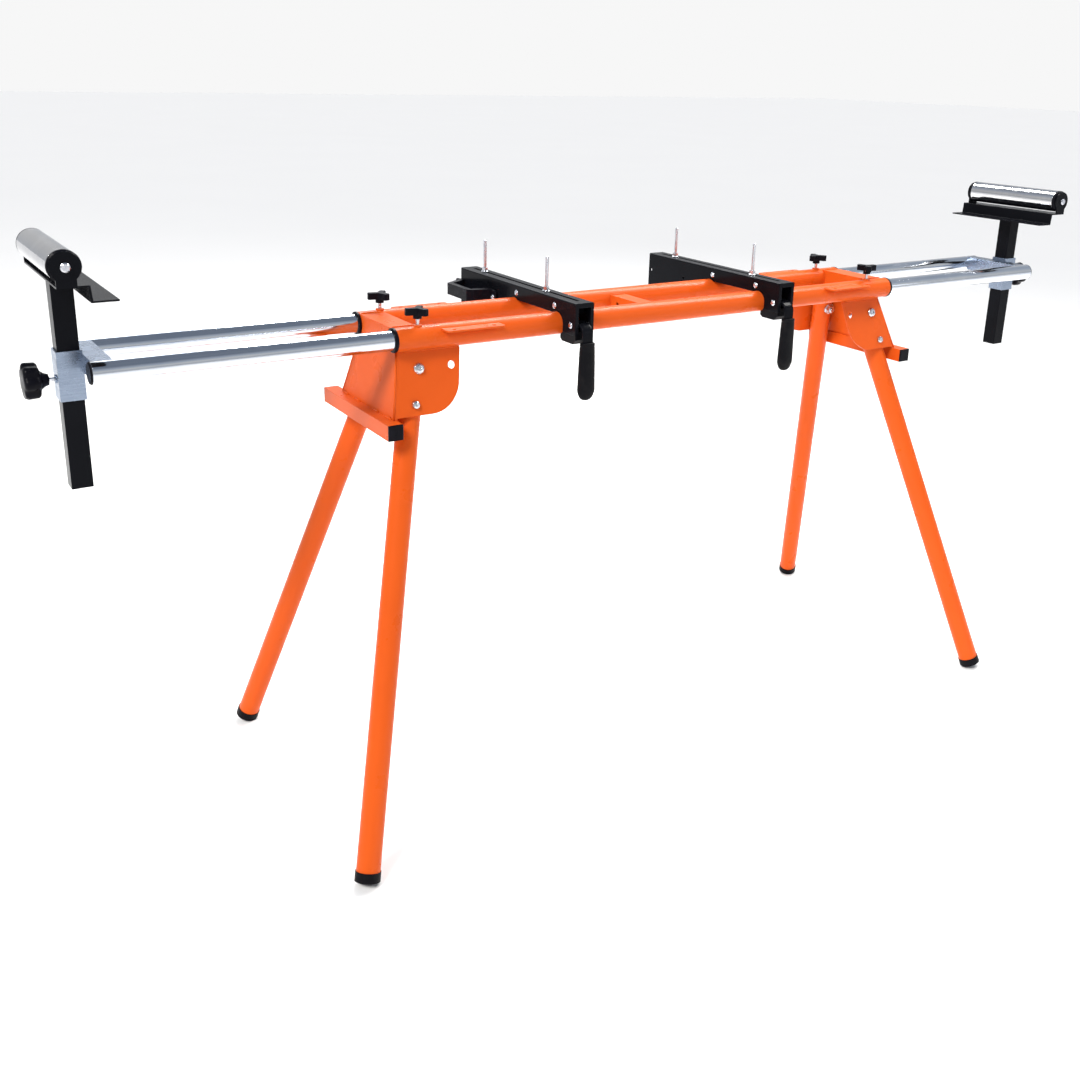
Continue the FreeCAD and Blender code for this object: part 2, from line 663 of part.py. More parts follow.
def leg(name, side, row):
    at, _, _ = leg_place(side, row)
    body = new_body(f"leg_{name}", at)
    end = foot_centre() + math.sqrt(size("foot_round") ** 2 - size("foot_dia / 2") ** 2) - size("cap_face")
    sketch = new_sketch(body)
    circle(sketch, "leg_dia / 2")
    circle(sketch, "leg_dia / 2 - leg_wall")
    tube = pad(body, sketch, "leg_head")
    tube.setExpression("Length", None)
    tube.Length = end + size("leg_head")
    sketch.AttachmentOffset = Placement(Vector(0, 0, -size("leg_head")), Rotation())
    doc.recompute()
    pivot_hole = new_sketch(body, "XZ_Plane")
    circle(pivot_hole, "bolt_dia / 2 + run_gap")
    for back in (True, False):
        pocket(body, pivot_hole, back=back)
    lock_hole = new_sketch(body, "XZ_Plane")
    circle(lock_hole, "lock_hole / 2 + 1", "0", "lock_pitch")
    pocket(body, lock_hole)
    return keep(body)


def foot(name, side, row):
    """Moulded rubber foot: plug, collar and domed sole."""
    at, _, _ = leg_place(side, row)
    body = new_body(f"foot_{name}", at)
    sole = foot_centre()
    flat = sole + math.sqrt(size("foot_round") ** 2 - size("foot_dia / 2") ** 2)
    end = flat - size("cap_face")
    collar = size("foot_dia / 2")
    plug = size("leg_dia / 2 - leg_wall")
    leg_r = size("leg_dia / 2")
    ball = size("foot_round")
    half = math.asin(collar / ball) / 2
    sketch = new_sketch(body, "XZ_Plane")
    corners = [
        (0, end - size("foot_plug")), (plug, end - size("foot_plug")), (plug, end), (leg_r, end),
        (leg_r, end - size("foot_collar")), (collar, end - size("foot_collar")), (collar, flat),
    ]
    points = [Vector(x, y, 0) for x, y in corners]
    tip = Vector(0, sole + ball, 0)
    shoulder = Vector(ball * math.sin(half), sole + ball * math.cos(half), 0)
    for a, b in zip(points, points[1:]):
        sketch.addGeometry(Part.LineSegment(a, b), False)
    sketch.addGeometry(Part.Arc(points[-1], shoulder, tip), False)
    sketch.addGeometry(Part.LineSegment(tip, points[0]), False)
    revolve(body, sketch)
    return keep(body)


def lock_button(name, side, row):
    """Domed button in the flange's lock hole."""
    normal, along, pivot = leg_frame(side, row)
    body = new_body(f"lock_button_{name}", aligned(pivot + along * size("lock_pitch"), normal, X_DIR))
    sketch = new_sketch(body, "XZ_Plane")
    radius = "lock_hole / 2 - run_gap"
    outline(sketch, [
        ("0", "-bracket_thick"), (radius, "-bracket_thick"), (radius, "button_dome * 0.45"),
        (f"({radius}) * 0.87", "button_dome * 0.75"), (f"({radius}) * 0.5", "button_dome * 0.94"),
        ("0", "button_dome"),
    ])
    revolve(body, sketch)
    return keep(body)


# ---- knobs

def lock_knob(corner, side_name, side, row, turn):
    """Three-armed moulded knob with its threaded stud, which locks an extension tube."""
    base = AXIS_Z + TUBE_R + size("knob_lift")
    spot = Vector(side * (HALF - size(f"knob_inset_{side_name}")), row * ROW_Y, base)
    body = new_body(f"lock_knob_{corner}", Placement(spot, Rotation(Z_DIR, turn)))
    hub = new_sketch(body)
    circle(hub, "knob_hub / 2")
    pad(body, hub, "knob_hub_high + knob_thick / 2")
    arm = new_sketch(body)
    outline(arm, [("0", "-knob_arm / 2"), ("knob_reach", "-knob_arm / 2"), ("knob_reach", "knob_arm / 2"),
                  ("0", "knob_arm / 2")])
    arm.AttachmentOffset = Placement(Vector(0, 0, size("knob_hub_high")), Rotation())
    arm_pad = pad(body, arm, "knob_thick")
    repeat(body, arm_pad, hub, 3)
    reach = size("knob_reach * 0.9")
    soften(body, "knob_arm * 0.3", lambda e: runs_along(e, 2) and middle(e).Length > reach)
    top = size("knob_hub_high + knob_thick - 0.1")
    soften(body, "knob_arm * 0.12", lambda e: middle(e).z > top)
    stud = new_sketch(body)
    circle(stud, "stud_dia / 2")
    pad(body, stud, "knob_lift + tube_dia / 2 - slide_dia / 2 - free_gap", back=True)
    return keep(body)


def star_knob(side_name, side):
    """Lobed hand knob with its threaded stud, which locks a post in its sleeve."""
    face = SLEEVE_X + size("post_size / 2 + run_gap + sleeve_wall + star_stand")
    at = aligned((side * face, 0, AXIS_Z - size("star_drop")), X_DIR * side, Y_DIR)
    body = new_body(f"star_knob_{side_name}", at)
    core = new_sketch(body)
    circle(core, "star_dia * 0.4")
    pad(body, core, "star_thick")
    lobe = new_sketch(body)
    circle(lobe, "star_dia * 0.17", "star_dia * 0.33", "0")
    lobe_pad = pad(body, lobe, "star_thick")
    repeat(body, lobe_pad, core, 7)
    soften(body, "star_thick * 0.15", lambda e: middle(e).z > size("star_thick") - 0.1)
    hub = new_sketch(body, "XZ_Plane")
    outline(hub, [
        ("0", "-star_stand - sleeve_wall + free_gap"), ("stud_dia / 2", "-star_stand - sleeve_wall + free_gap"),
        ("stud_dia / 2", "boss_high + 2 - star_stand"), ("star_dia * 0.17", "boss_high + 2 - star_stand"),
        ("star_dia * 0.19", "boss_high + 5 - star_stand"), ("star_dia * 0.3", "0"),
        ("star_dia * 0.3", "star_thick / 4"), ("0", "star_thick / 4"),
    ])
    revolve(body, hub)
    return keep(body)


# ---- sliding extensions

SLIDE_END = HALF + size("slide_reach")
YOKE_FACE = SLIDE_END - size("yoke_inset")
SLEEVE_X = YOKE_FACE + size("post_size / 2 + run_gap + sleeve_wall")


def extension(side_name, side):
    """A pair of chromed tubes with glides and plugs, joined by a welded channel and post sleeve."""
    tubes, ends = [], []
    for row_name, row in ROWS:
        start = side * (HALF - size("slide_overlap"))
        at = aligned((start, row * ROW_Y, AXIS_Z), X_DIR * side, Y_DIR)
        name = f"{side_name}_{row_name}"
        tubes.append(pipe(f"slide_{name}", at, "slide_dia / 2", "slide_dia / 2 - slide_wall",
                          "slide_reach + slide_overlap"))
        glide = new_body(f"glide_{name}", at)
        profile = new_sketch(glide, "XZ_Plane")
        skin = "tube_dia / 2 - tube_wall - run_gap"
        outline(profile, [
            ("slide_dia / 2 - slide_wall", "-3"), (skin, "-3"), (skin, "glide_length"),
            ("slide_dia / 2", "glide_length"), ("slide_dia / 2", "0"), ("slide_dia / 2 - slide_wall", "0"),
        ])
        revolve(glide, profile)
        at_end = aligned((side * SLIDE_END, row * ROW_Y, AXIS_Z), X_DIR * side, Y_DIR)
        plug = new_body(f"plug_{name}", at_end)
        profile = new_sketch(plug, "XZ_Plane")
        bore = "slide_dia / 2 - slide_wall"
        outline(profile, [
            ("0", "-plug_depth"), (bore, "-plug_depth"), (bore, "0"), ("slide_dia / 2", "0"),
            ("slide_dia / 2", "plug_face * 0.4"), ("slide_dia / 2 - 1.5", "plug_face"), ("0", "plug_face"),
        ])
        revolve(plug, profile)
        ends += [glide, plug]
    group(f"extension_tubes_{side_name}", tubes)
    group(f"extension_ends_{side_name}", ends)
    keep(yoke(side_name, side))


def yoke(side_name, side):
    """Zinc-plated weldment: cross channel, square post sleeve and threaded boss."""
    at = Placement(Vector(0, 0, AXIS_Z), Rotation(Z_DIR, 0 if side > 0 else 180))
    inner_x = YOKE_FACE - size("yoke_width")
    body = new_body(f"yoke_{side_name}", at.multiply(Placement(Vector(inner_x, 0, 0), Rotation())))
    channel = new_sketch(body, "XZ_Plane")
    top, low = "slide_dia / 2 - 0.5", "slide_dia / 2 - 0.5 - yoke_depth"
    outline(channel, [
        ("0", low), ("0", top), ("yoke_width", top), ("yoke_width", low), ("yoke_width - yoke_wall", low),
        ("yoke_width - yoke_wall", f"{top} - yoke_wall"), ("yoke_wall", f"{top} - yoke_wall"),
        ("yoke_wall", low),
    ])
    channel.AttachmentOffset = Placement(Vector(0, 0, -ROW_Y), Rotation())
    feature = pad(body, channel, "tube_spacing")
    saddle = new_sketch(body, "YZ_Plane")
    circle(saddle, "slide_dia / 2", "-tube_spacing / 2", "0")
    circle(saddle, "slide_dia / 2", "tube_spacing / 2", "0")
    pocket(body, saddle, back=True)
    sleeve = new_sketch(body)
    outer = "post_size + 2 * run_gap + 2 * sleeve_wall"
    centre = f"yoke_width + ({outer}) / 2"
    oblong(sleeve, outer, outer, centre)
    oblong(sleeve, "post_size + 2 * run_gap", "post_size + 2 * run_gap", centre)
    sleeve.AttachmentOffset = Placement(Vector(0, 0, size("sleeve_rise - sleeve_high")), Rotation())
    pad(body, sleeve, "sleeve_high")
    for radius, length, cutting in (("stud_dia", "boss_high", False), ("stud_dia / 2 + run_gap", None, True)):
        spot = new_sketch(body, "YZ_Plane")
        circle(spot, radius, "0", "-star_drop")
        face = size(f"{centre} + ({outer}) / 2")
        if cutting:
            spot.AttachmentOffset = Placement(Vector(0, 0, size(centre)), Rotation())
            pocket(body, spot, "sleeve_wall + post_size", back=True)
        else:
            spot.AttachmentOffset = Placement(Vector(0, 0, face), Rotation())
            pad(body, spot, length)
    return body


# ---- posts and rollers

def post_head(side_name, side):
    """Square post, folded roller bracket with stop plate, axle bolt and roller."""
    top = AXIS_Z + size(f"post_rise_{side_name}")
    post = new_body(f"post_{side_name}", Placement(
        Vector(side * SLEEVE_X, 0, top - size("post_length")), Rotation()))
    sketch = new_sketch(post)
    oblong(sketch, "post_size", "post_size")
    oblong(sketch, "post_size - 2 * post_wall", "post_size - 2 * post_wall")
    pad(post, sketch, "post_length")
    soften(post, "post_wall * 0.75", lambda e: runs_along(e, 2) and abs(middle(e).x) > size("post_size / 2 - 0.1"))
    keep(post)

    # Local X points outwards from the saw, so both ends are the same part.
    turn = Rotation(Z_DIR, 0 if side > 0 else 180)
    head = new_body(f"roller_bracket_{side_name}", Placement(Vector(side * SLEEVE_X, 0, top), turn))
    base = new_sketch(head, "XZ_Plane")
    back, front = "axle_out + ear_neck / 2", "-post_size / 2"
    sheet_t = "head_thick"
    outline(base, [
        (back, "0"), (back, sheet_t), (f"{front} - {sheet_t}", sheet_t),
        (f"{front} - {sheet_t} - 2", f"{sheet_t} - stop_drop"),
        (f"{front} - {sheet_t} - stop_lip", f"{sheet_t} - stop_drop"),
        (f"{front} - {sheet_t} - stop_lip", "-stop_drop"),
        (f"{front} - 2", "-stop_drop"), (front, "0"),
    ])
    base.AttachmentOffset = Placement(Vector(0, 0, -size("head_length / 2")), Rotation())
    pad(head, base, "head_length")
    for sign in (-1, 1):
        ear = new_sketch(head, "XZ_Plane")
        add_ear(ear)
        offset = size("head_length / 2") if sign < 0 else size("-head_length / 2 + head_thick")
        ear.AttachmentOffset = Placement(Vector(0, 0, offset), Rotation())
        pad(head, ear, "head_thick", back=True)
    hole = new_sketch(head, "XZ_Plane")
    circle(hole, "axle_dia / 2", "axle_out", "axle_up")
    for way in (True, False):
        pocket(head, hole, back=way)
    keep(head)

    axle_x = side * (SLEEVE_X + size("axle_out"))
    axle_z = top + size("axle_up")
    half = size("head_length / 2")
    axle = new_body(f"roller_axle_{side_name}", aligned((axle_x, -half, axle_z), -Y_DIR, X_DIR))
    profile = new_sketch(axle, "XZ_Plane")
    outline(profile, [
        ("0", "-head_length - axle_dia"), ("axle_dia / 2", "-head_length - axle_dia"), ("axle_dia / 2", "0"),
        ("axle_dia * 0.8", "0"), ("axle_dia * 0.8", "axle_dia * 0.4"), ("axle_dia * 0.6", "axle_dia * 0.6"),
        ("0", "axle_dia * 0.6"),
    ])
    revolve(axle, profile)
    nut = new_sketch(axle)
    across = "axle_dia * 0.92"
    outline(nut, [(f"{across} * cos({60 * i} deg)", f"{across} * sin({60 * i} deg)") for i in range(6)])
    nut.AttachmentOffset = Placement(Vector(0, 0, -size("head_length")), Rotation())
    pad(axle, nut, "axle_dia * 0.7", back=True)
    keep(axle)

    length = "head_length - 2 * head_thick - 2 * end_play - 2 * roller_cap"
    start = half - size("head_thick + end_play + roller_cap")
    at = aligned((axle_x, -start, axle_z), Y_DIR, X_DIR)
    keep(pipe(f"roller_{side_name}", at, "roller_dia / 2", "roller_dia / 2 - roller_wall", length))
    caps = []
    for row_name, row in ROWS:
        at = aligned((axle_x, row * start, axle_z), Y_DIR * row, X_DIR)
        cap = new_body(f"roller_cap_{side_name}_{row_name}", at)
        profile = new_sketch(cap, "XZ_Plane")
        bore = "axle_dia / 2 + run_gap"
        outline(profile, [
            (bore, "-roller_cap * 2"), ("axle_dia", "-roller_cap * 2"), ("axle_dia", "-roller_cap / 2"),
            ("roller_dia / 2 - roller_wall - 3", "-roller_cap / 2"),
            ("roller_dia / 2 - roller_wall - 3", "-roller_cap * 2"),
            ("roller_dia / 2 - roller_wall", "-roller_cap * 2"), ("roller_dia / 2 - roller_wall", "0"),
            ("roller_dia / 2", "0"), ("roller_dia / 2", "roller_cap - 2"),
            ("roller_dia / 2 - 2", "roller_cap"), (bore, "roller_cap"),
        ])
        revolve(cap, profile)
        caps.append(cap)
    group(f"roller_caps_{side_name}", caps)


def add_ear(sketch):
    """A neck that rises to a round eye about the axle, as one loop of lines and an arc."""
    x0, z0 = size("axle_out"), size("axle_up")
    half, radius = size("ear_neck / 2"), size("ear_round")
    reach = math.sqrt(radius ** 2 - half ** 2)
    feet = [Vector(x0 - half, 0, 0), Vector(x0 + half, 0, 0)]
    necks = [Vector(x0 - half, z0 - reach, 0), Vector(x0 + half, z0 - reach, 0)]
    crown = Vector(x0, z0 + radius, 0)
    sketch.addGeometry(Part.LineSegment(feet[0], feet[1]), False)
    sketch.addGeometry(Part.LineSegment(feet[1], necks[1]), False)
    sketch.addGeometry(Part.Arc(necks[1], crown, necks[0]), False)
    sketch.addGeometry(Part.LineSegment(necks[0], feet[0]), False)


# ---- tool mounts

def tool_mount(side_name, side):
    """Channel that carries one end of the saw and clamps to both main tubes."""
    base = Placement(Vector(side * size(f"mount_place_{side_name}"), 0, AXIS_Z), Rotation())
    channel = new_body(f"mount_channel_{side_name}", base)
    shape = new_sketch(channel, "YZ_Plane")
    front, rear = "-tube_spacing / 2 - mount_front", "tube_spacing / 2 + mount_rear"
    oblong(shape, f"{rear} - ({front})", "mount_rise + rear_drop", f"(({rear}) + ({front})) / 2",
           "(mount_rise - rear_drop) / 2")
    shape.AttachmentOffset = Placement(Vector(0, 0, -size("mount_width / 2")), Rotation())
    pad(channel, shape, "mount_width")
    soften(channel, "mount_sheet", lambda e: runs_along(e, 1) and middle(e).z > size("mount_rise") - 0.1)

    # Everything below the side plates' outline is cut away across the whole width.
    clear = "tube_dia / 2 + free_gap"
    below = new_sketch(channel, "YZ_Plane")
    low = "-rear_drop - 5"
    outline(below, [
        (f"{front} - 5", low), (f"{front} - 5", "-front_drop"), (f"-tube_spacing / 2 - ({clear})", "-front_drop"),
        (f"-tube_spacing / 2 - ({clear})", "0"), ("-tube_spacing / 2", "0"), ("-tube_spacing / 2", "web_rise"),
        ("tube_spacing / 2", "web_rise"), ("tube_spacing / 2", "0"), (f"tube_spacing / 2 + {clear}", "0"),
        (f"tube_spacing / 2 + {clear}", low),
    ])
    for way in (True, False):
        pocket(channel, below, back=way)
    notches = new_sketch(channel, "YZ_Plane")
    circle(notches, clear, "-tube_spacing / 2")
    circle(notches, clear, "tube_spacing / 2")
    for way in (True, False):
        pocket(channel, notches, back=way)

    # The inside of the channel, open at the rear and closed in front.
    hollow = new_sketch(channel, "XZ_Plane")
    inside = "mount_width - 2 * mount_sheet"
    oblong(hollow, inside, "mount_rise + rear_drop + 10", "0", "(mount_rise - rear_drop - 10) / 2 - mount_sheet")
    hollow.AttachmentOffset = Placement(Vector(0, 0, size(f"-({front}) - mount_sheet")), Rotation())
    pocket(channel, hollow)
    slot = new_sketch(channel)
    slot_mid = f"(({front} + slot_front) + ({rear} - slot_rear)) / 2"
    slot_long = f"({rear} - slot_rear) - ({front} + slot_front)"
    oblong(slot, "slot_width", slot_long, "0", slot_mid)
    pocket(channel, slot, back=True)
    mouth = new_sketch(channel, "XZ_Plane")
    oblong(mouth, "lever_width + 4", "mount_rise + front_drop", "0", "(mount_rise - front_drop) / 2 - 8")
    mouth.AttachmentOffset = Placement(Vector(0, 0, size(f"-({front}) - 2 * mount_sheet")), Rotation())
    pocket(channel, mouth, back=True)
    holes = new_sketch(channel, "YZ_Plane")
    circle(holes, "rivet_dia / 2", "-tube_spacing / 2 + rivet_in", "rivet_rise")
    circle(holes, "rivet_dia / 2", "tube_spacing / 2 - rivet_in", "rivet_rise")
    circle(holes, "rivet_dia / 2", "-tube_spacing / 2 - pin_out", "pin_rise")
    for index in (0, 1):
        circle(holes, "rivet_dia / 2", f"{rear} - handle_rear - {index} * handle_pitch", "handle_high * 0.4")
    for way in (True, False):
        pocket(channel, holes, back=way)
    keep(channel)

    # Two saddle pads that ride on the tubes.
    pads, rivets = [], []
    for row_name, row in ROWS:
        pad_body = new_body(f"pad_{side_name}_{row_name}", base)
        face = new_sketch(pad_body, "YZ_Plane")
        low = f"sqrt(({clear}) * ({clear}) - pad_reach * pad_reach) + 1"
        oblong(face, "2 * pad_reach", f"mount_rise - mount_sheet - ({low})", f"{row} * tube_spacing / 2",
               f"(mount_rise - mount_sheet + {low}) / 2")
        face.AttachmentOffset = Placement(Vector(0, 0, -size("mount_width / 2 - mount_sheet")), Rotation())
        pad(pad_body, face, inside)
        saddle = new_sketch(pad_body, "YZ_Plane")
        circle(saddle, clear, f"{row} * tube_spacing / 2")
        for way in (True, False):
            pocket(pad_body, saddle, back=way)
        bore = new_sketch(pad_body, "YZ_Plane")
        circle(bore, "rivet_dia / 2", f"{row} * (tube_spacing / 2 - rivet_in)", "rivet_rise")
        for way in (True, False):
            pocket(pad_body, bore, back=way)
        slot_cut = new_sketch(pad_body)
        oblong(slot_cut, "slot_width + 6", "4 * pad_reach + tube_spacing", "0", "0")
        slot_cut.AttachmentOffset = Placement(Vector(0, 0, size("rivet_rise + rivet_dia / 2 + 3")), Rotation())
        pocket(pad_body, slot_cut, back=True)
        pads.append(pad_body)
        rivets.append(pin(f"rivet_{side_name}_{row_name}", base, f"{row} * (tube_spacing / 2 - rivet_in)",
                          "rivet_rise"))
    group(f"mount_pads_{side_name}", pads)
    rivets.append(pin(f"lever_pin_{side_name}", base, "-tube_spacing / 2 - pin_out", "pin_rise"))
    group(f"mount_rivets_{side_name}", rivets)
    group(f"saw_studs_{side_name}", [saw_stud(side_name, base, index) for index in (0, 1)])
    carry_handle(side_name, side, base)
    clamp_lever(side_name, base)
    clamp_jaw(side_name, base)


def pin(name, base, y_text, z_text):
    """A headed pin across the channel."""
    body = new_body(name, base.multiply(aligned((0, size(y_text), size(z_text)), X_DIR, Y_DIR)))
    profile = new_sketch(body, "XZ_Plane")
    half = "mount_width / 2"
    outline(profile, [
        ("0", f"-({half}) - rivet_dia * 0.4"), ("rivet_head * 0.3", f"-({half}) - rivet_dia * 0.35"),
        ("rivet_head / 2", f"-({half})"), ("rivet_dia / 2", f"-({half})"), ("rivet_dia / 2", half),
        ("rivet_head / 2", half), ("rivet_head * 0.3", f"{half} + rivet_dia * 0.35"),
        ("0", f"{half} + rivet_dia * 0.4"),
    ])
    revolve(body, profile)
    return body


def saw_stud(side_name, base, index):
    """Threaded stud with a head under the slot and a flange nut on top."""
    y = size(f"-tube_spacing / 2 + stud_front_{side_name} + {index} * stud_spread_{side_name}")
    body = new_body(f"saw_stud_{side_name}_{index}", base.multiply(
        Placement(Vector(0, y, size("mount_rise")), Rotation())))
    profile = new_sketch(body, "XZ_Plane")
    outline(profile, [
        ("0", "-mount_sheet - 4"), ("flange_nut / 2", "-mount_sheet - 4"), ("flange_nut / 2", "-mount_sheet"),
        ("screw_stud / 2", "-mount_sheet"), ("screw_stud / 2", "0"), ("flange_nut / 2", "0"),
        ("flange_nut / 2", "1.2"), ("stud_nut / 2", "2.4"), ("screw_stud / 2", "2.4"),
        ("screw_stud / 2", "stud_rise - 1"), ("screw_stud / 2 - 1", "stud_rise"), ("0", "stud_rise"),
    ])
    revolve(body, profile)
    nut = new_sketch(body)
    across = "stud_nut / 2 / cos(30 deg)"
    outline(nut, [(f"{across} * cos({60 * i} deg)", f"{across} * sin({60 * i} deg)") for i in range(6)])
    pad(body, nut, "stud_nut_high")
    return body


def carry_handle(side_name, side, base):
    """Moulded loop screwed to the outer side plate near the rear."""
    body = new_body(f"carry_handle_{side_name}", base)
    rear = "tube_spacing / 2 + mount_rear - handle_rear"
    fore = f"({rear}) - handle_pitch"
    wall = "mount_width / 2"
    sketch = new_sketch(body)
    sign = "" if side > 0 else "-"
    far = f"{wall} + handle_out"
    loop = [
        (wall, f"{rear} + handle_thick * 0.8"), (far, f"{rear} - handle_out / 2"),
        (far, f"{fore} + handle_thick"), (f"{far} - handle_thick", fore), (wall, f"{fore} - handle_thick * 0.8"),
        (wall, f"{fore} + handle_thick * 0.8"), (f"{far} - handle_thick", f"{fore} + handle_thick * 1.2"),
        (f"{far} - handle_thick", f"{rear} - handle_out / 2 - handle_thick * 0.4"),
        (wall, f"{rear} - handle_thick * 0.6"),
    ]
    outline(sketch, [(f"{sign}({x})", y) for x, y in loop])
    pad(body, sketch, "handle_high")
    soften(body, "handle_thick / 5", lambda e: runs_along(e, 2) and abs(middle(e).x) > size(f"{wall} + handle_out / 2"))
    return keep(body)


def clamp_lever(side_name, base):
    """Steel strap on the lever pin, with a moulded grip hanging from it."""
    at = base.multiply(Placement(Vector(0, -size("tube_spacing / 2 + pin_out"), size("pin_rise")), Rotation()))
    body = new_body(f"clamp_lever_{side_name}", at)
    eye = new_sketch(body, "YZ_Plane")
    circle(eye, "rivet_dia / 2 + lever_thick")
    centre = Placement(Vector(0, 0, -size("lever_width / 2")), Rotation())
    eye.AttachmentOffset = centre
    pad(body, eye, "lever_width")
    strap = new_sketch(body, "YZ_Plane")
    half = "lever_thick / 2"
    outline(strap, [
        ("0", f"{half} + 1"), ("-lever_out * 0.62", f"{half} - 1"), (f"-lever_out - {half}", "-lever_out * 0.35"),
        (f"-lever_out - {half}", "-grip_start - strap_tail"), (f"-lever_out + {half}", "-grip_start - strap_tail"),
        (f"-lever_out + {half}", "-lever_out * 0.42"), ("-lever_out * 0.55", f"-{half} - 1"),
        ("0", f"-{half} + 1"),
    ])
    strap.AttachmentOffset = centre
    pad(body, strap, "lever_width")
    bore = new_sketch(body, "YZ_Plane")
    circle(bore, "rivet_dia / 2 + run_gap")
    for way in (True, False):
        pocket(body, bore, back=way)
    keep(body)

    grip = new_body(f"lever_grip_{side_name}", at)
    shape = new_sketch(grip, "XZ_Plane")
    taper = "grip_start + grip_length - grip_wide * 0.4"
    outline(shape, [
        ("-grip_neck / 2", "-grip_start"), ("-grip_wide / 2", f"-({taper})"),
        ("-grip_wide * 0.25", "-grip_start - grip_length"), ("grip_wide * 0.25", "-grip_start - grip_length"),
        ("grip_wide / 2", f"-({taper})"), ("grip_neck / 2", "-grip_start"),
    ])
    shape.AttachmentOffset = Placement(Vector(0, 0, size("lever_out - grip_deep / 2")), Rotation())
    pad(grip, shape, "grip_deep")
    soften(grip, "grip_deep / 4", lambda e: not runs_along(e, 1) and abs(middle(e).z + size("grip_start")) > 1)
    mouth = new_sketch(grip)
    oblong(mouth, "lever_width", "lever_thick", "0", "-lever_out")
    mouth.AttachmentOffset = Placement(Vector(0, 0, -size("grip_start")), Rotation())
    pocket(grip, mouth, "strap_tail")
    return keep(grip)


def clamp_jaw(side_name, base):
    """Plastic jaw under the front tube, moved by the lever."""
    body = new_body(f"clamp_jaw_{side_name}", base)
    face = new_sketch(body, "YZ_Plane")
    top = "pin_rise - rivet_dia / 2 - lever_thick - 1.5"
    outline(face, [
        ("-tube_spacing / 2 - 8", "-jaw_drop + 4"), ("-tube_spacing / 2 - 14", "-jaw_drop"),
        ("-tube_spacing / 2 - jaw_out + 8", "-jaw_drop"), ("-tube_spacing / 2 - jaw_out", "-jaw_drop + 8"),
        ("-tube_spacing / 2 - jaw_out", top), ("-tube_spacing / 2 - 8", top),
    ])
    half = "mount_width / 2 - mount_sheet - free_gap"
    face.AttachmentOffset = Placement(Vector(0, 0, -size(half)), Rotation())
    pad(body, face, f"2 * ({half})")
    seat = new_sketch(body, "YZ_Plane")
    circle(seat, "tube_dia / 2 + free_gap", "-tube_spacing / 2")
    for way in (True, False):
        pocket(body, seat, back=way)
    return keep(body)


# ---- the stand

for row_name, row in ROWS:
    main_tube(row_name, row)
group("cross_members", [end_channel(*item) for item in SIDES] + [cross_member()])
group("accessory_strips", [accessory_strip(side, row) for _, side in SIDES for _, row in ROWS])
bars, bar_caps = [], []
for side_name, side in SIDES:
    leg_bracket(side_name, side)
    bar, caps = crossbar(side_name, side)
    bars.append(bar)
    bar_caps += caps
group("crossbars", bars)
group("crossbar_caps", bar_caps)
group("tube_bushes", [bush(side, row) for _, side in SIDES for _, row in ROWS])
group("pivot_bolts", [piece for _, side in SIDES for _, row in ROWS for piece in pivot_bolt(side, row)])
KNOB_TURNS = {"front_left": 172, "rear_left": 169, "front_right": -7, "rear_right": -48}
for side_name, side in SIDES:
    for row_name, row in ROWS:
        corner = f"{row_name}_{side_name}"
        leg(corner, side, row)
        foot(corner, side, row)
        lock_button(corner, side, row)
        lock_knob(corner, side_name, side, row, KNOB_TURNS[corner])
    extension(side_name, side)
    post_head(side_name, side)
    star_knob(side_name, side)
    tool_mount(side_name, side)
doc.recompute()

# ---- checks and files

for thing in doc.Objects:
    if {"Invalid", "Error"} & set(thing.State):
        raise RuntimeError(f"{thing.Label} failed: {thing.State}")
for thing in PARTS:
    if thing.Shape.isNull() or not thing.Shape.isValid() or not thing.Shape.Solids:
        raise RuntimeError(f"{thing.Label} has no valid solid")
os.makedirs("parts", exist_ok=True)
for thing in PARTS:
    thing.Shape.exportStep(os.path.join("parts", thing.Label + ".step"))
print(f"wrote {len(PARTS)} parts")
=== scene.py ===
import math

import bmesh
import bpy
from mathutils import Matrix, Vector


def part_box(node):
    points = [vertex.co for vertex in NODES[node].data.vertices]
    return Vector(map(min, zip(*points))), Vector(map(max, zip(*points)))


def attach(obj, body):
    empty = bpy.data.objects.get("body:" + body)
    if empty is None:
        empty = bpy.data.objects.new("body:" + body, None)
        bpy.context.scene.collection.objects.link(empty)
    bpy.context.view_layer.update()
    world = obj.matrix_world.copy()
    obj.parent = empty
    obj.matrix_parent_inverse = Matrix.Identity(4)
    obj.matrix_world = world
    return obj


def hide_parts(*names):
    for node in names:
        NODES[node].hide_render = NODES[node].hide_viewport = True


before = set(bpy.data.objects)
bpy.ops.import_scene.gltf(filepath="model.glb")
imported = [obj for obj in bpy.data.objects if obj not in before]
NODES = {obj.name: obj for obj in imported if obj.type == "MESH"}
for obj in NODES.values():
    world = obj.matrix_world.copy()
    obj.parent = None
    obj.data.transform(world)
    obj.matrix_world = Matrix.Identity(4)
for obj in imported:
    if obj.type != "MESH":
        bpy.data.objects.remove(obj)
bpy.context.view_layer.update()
SIDES = (("left", -1), ("right", 1))
ROWS = (("front", -1), ("rear", 1))
MM = 0.001


# ---------------------------------------------------------------- materials

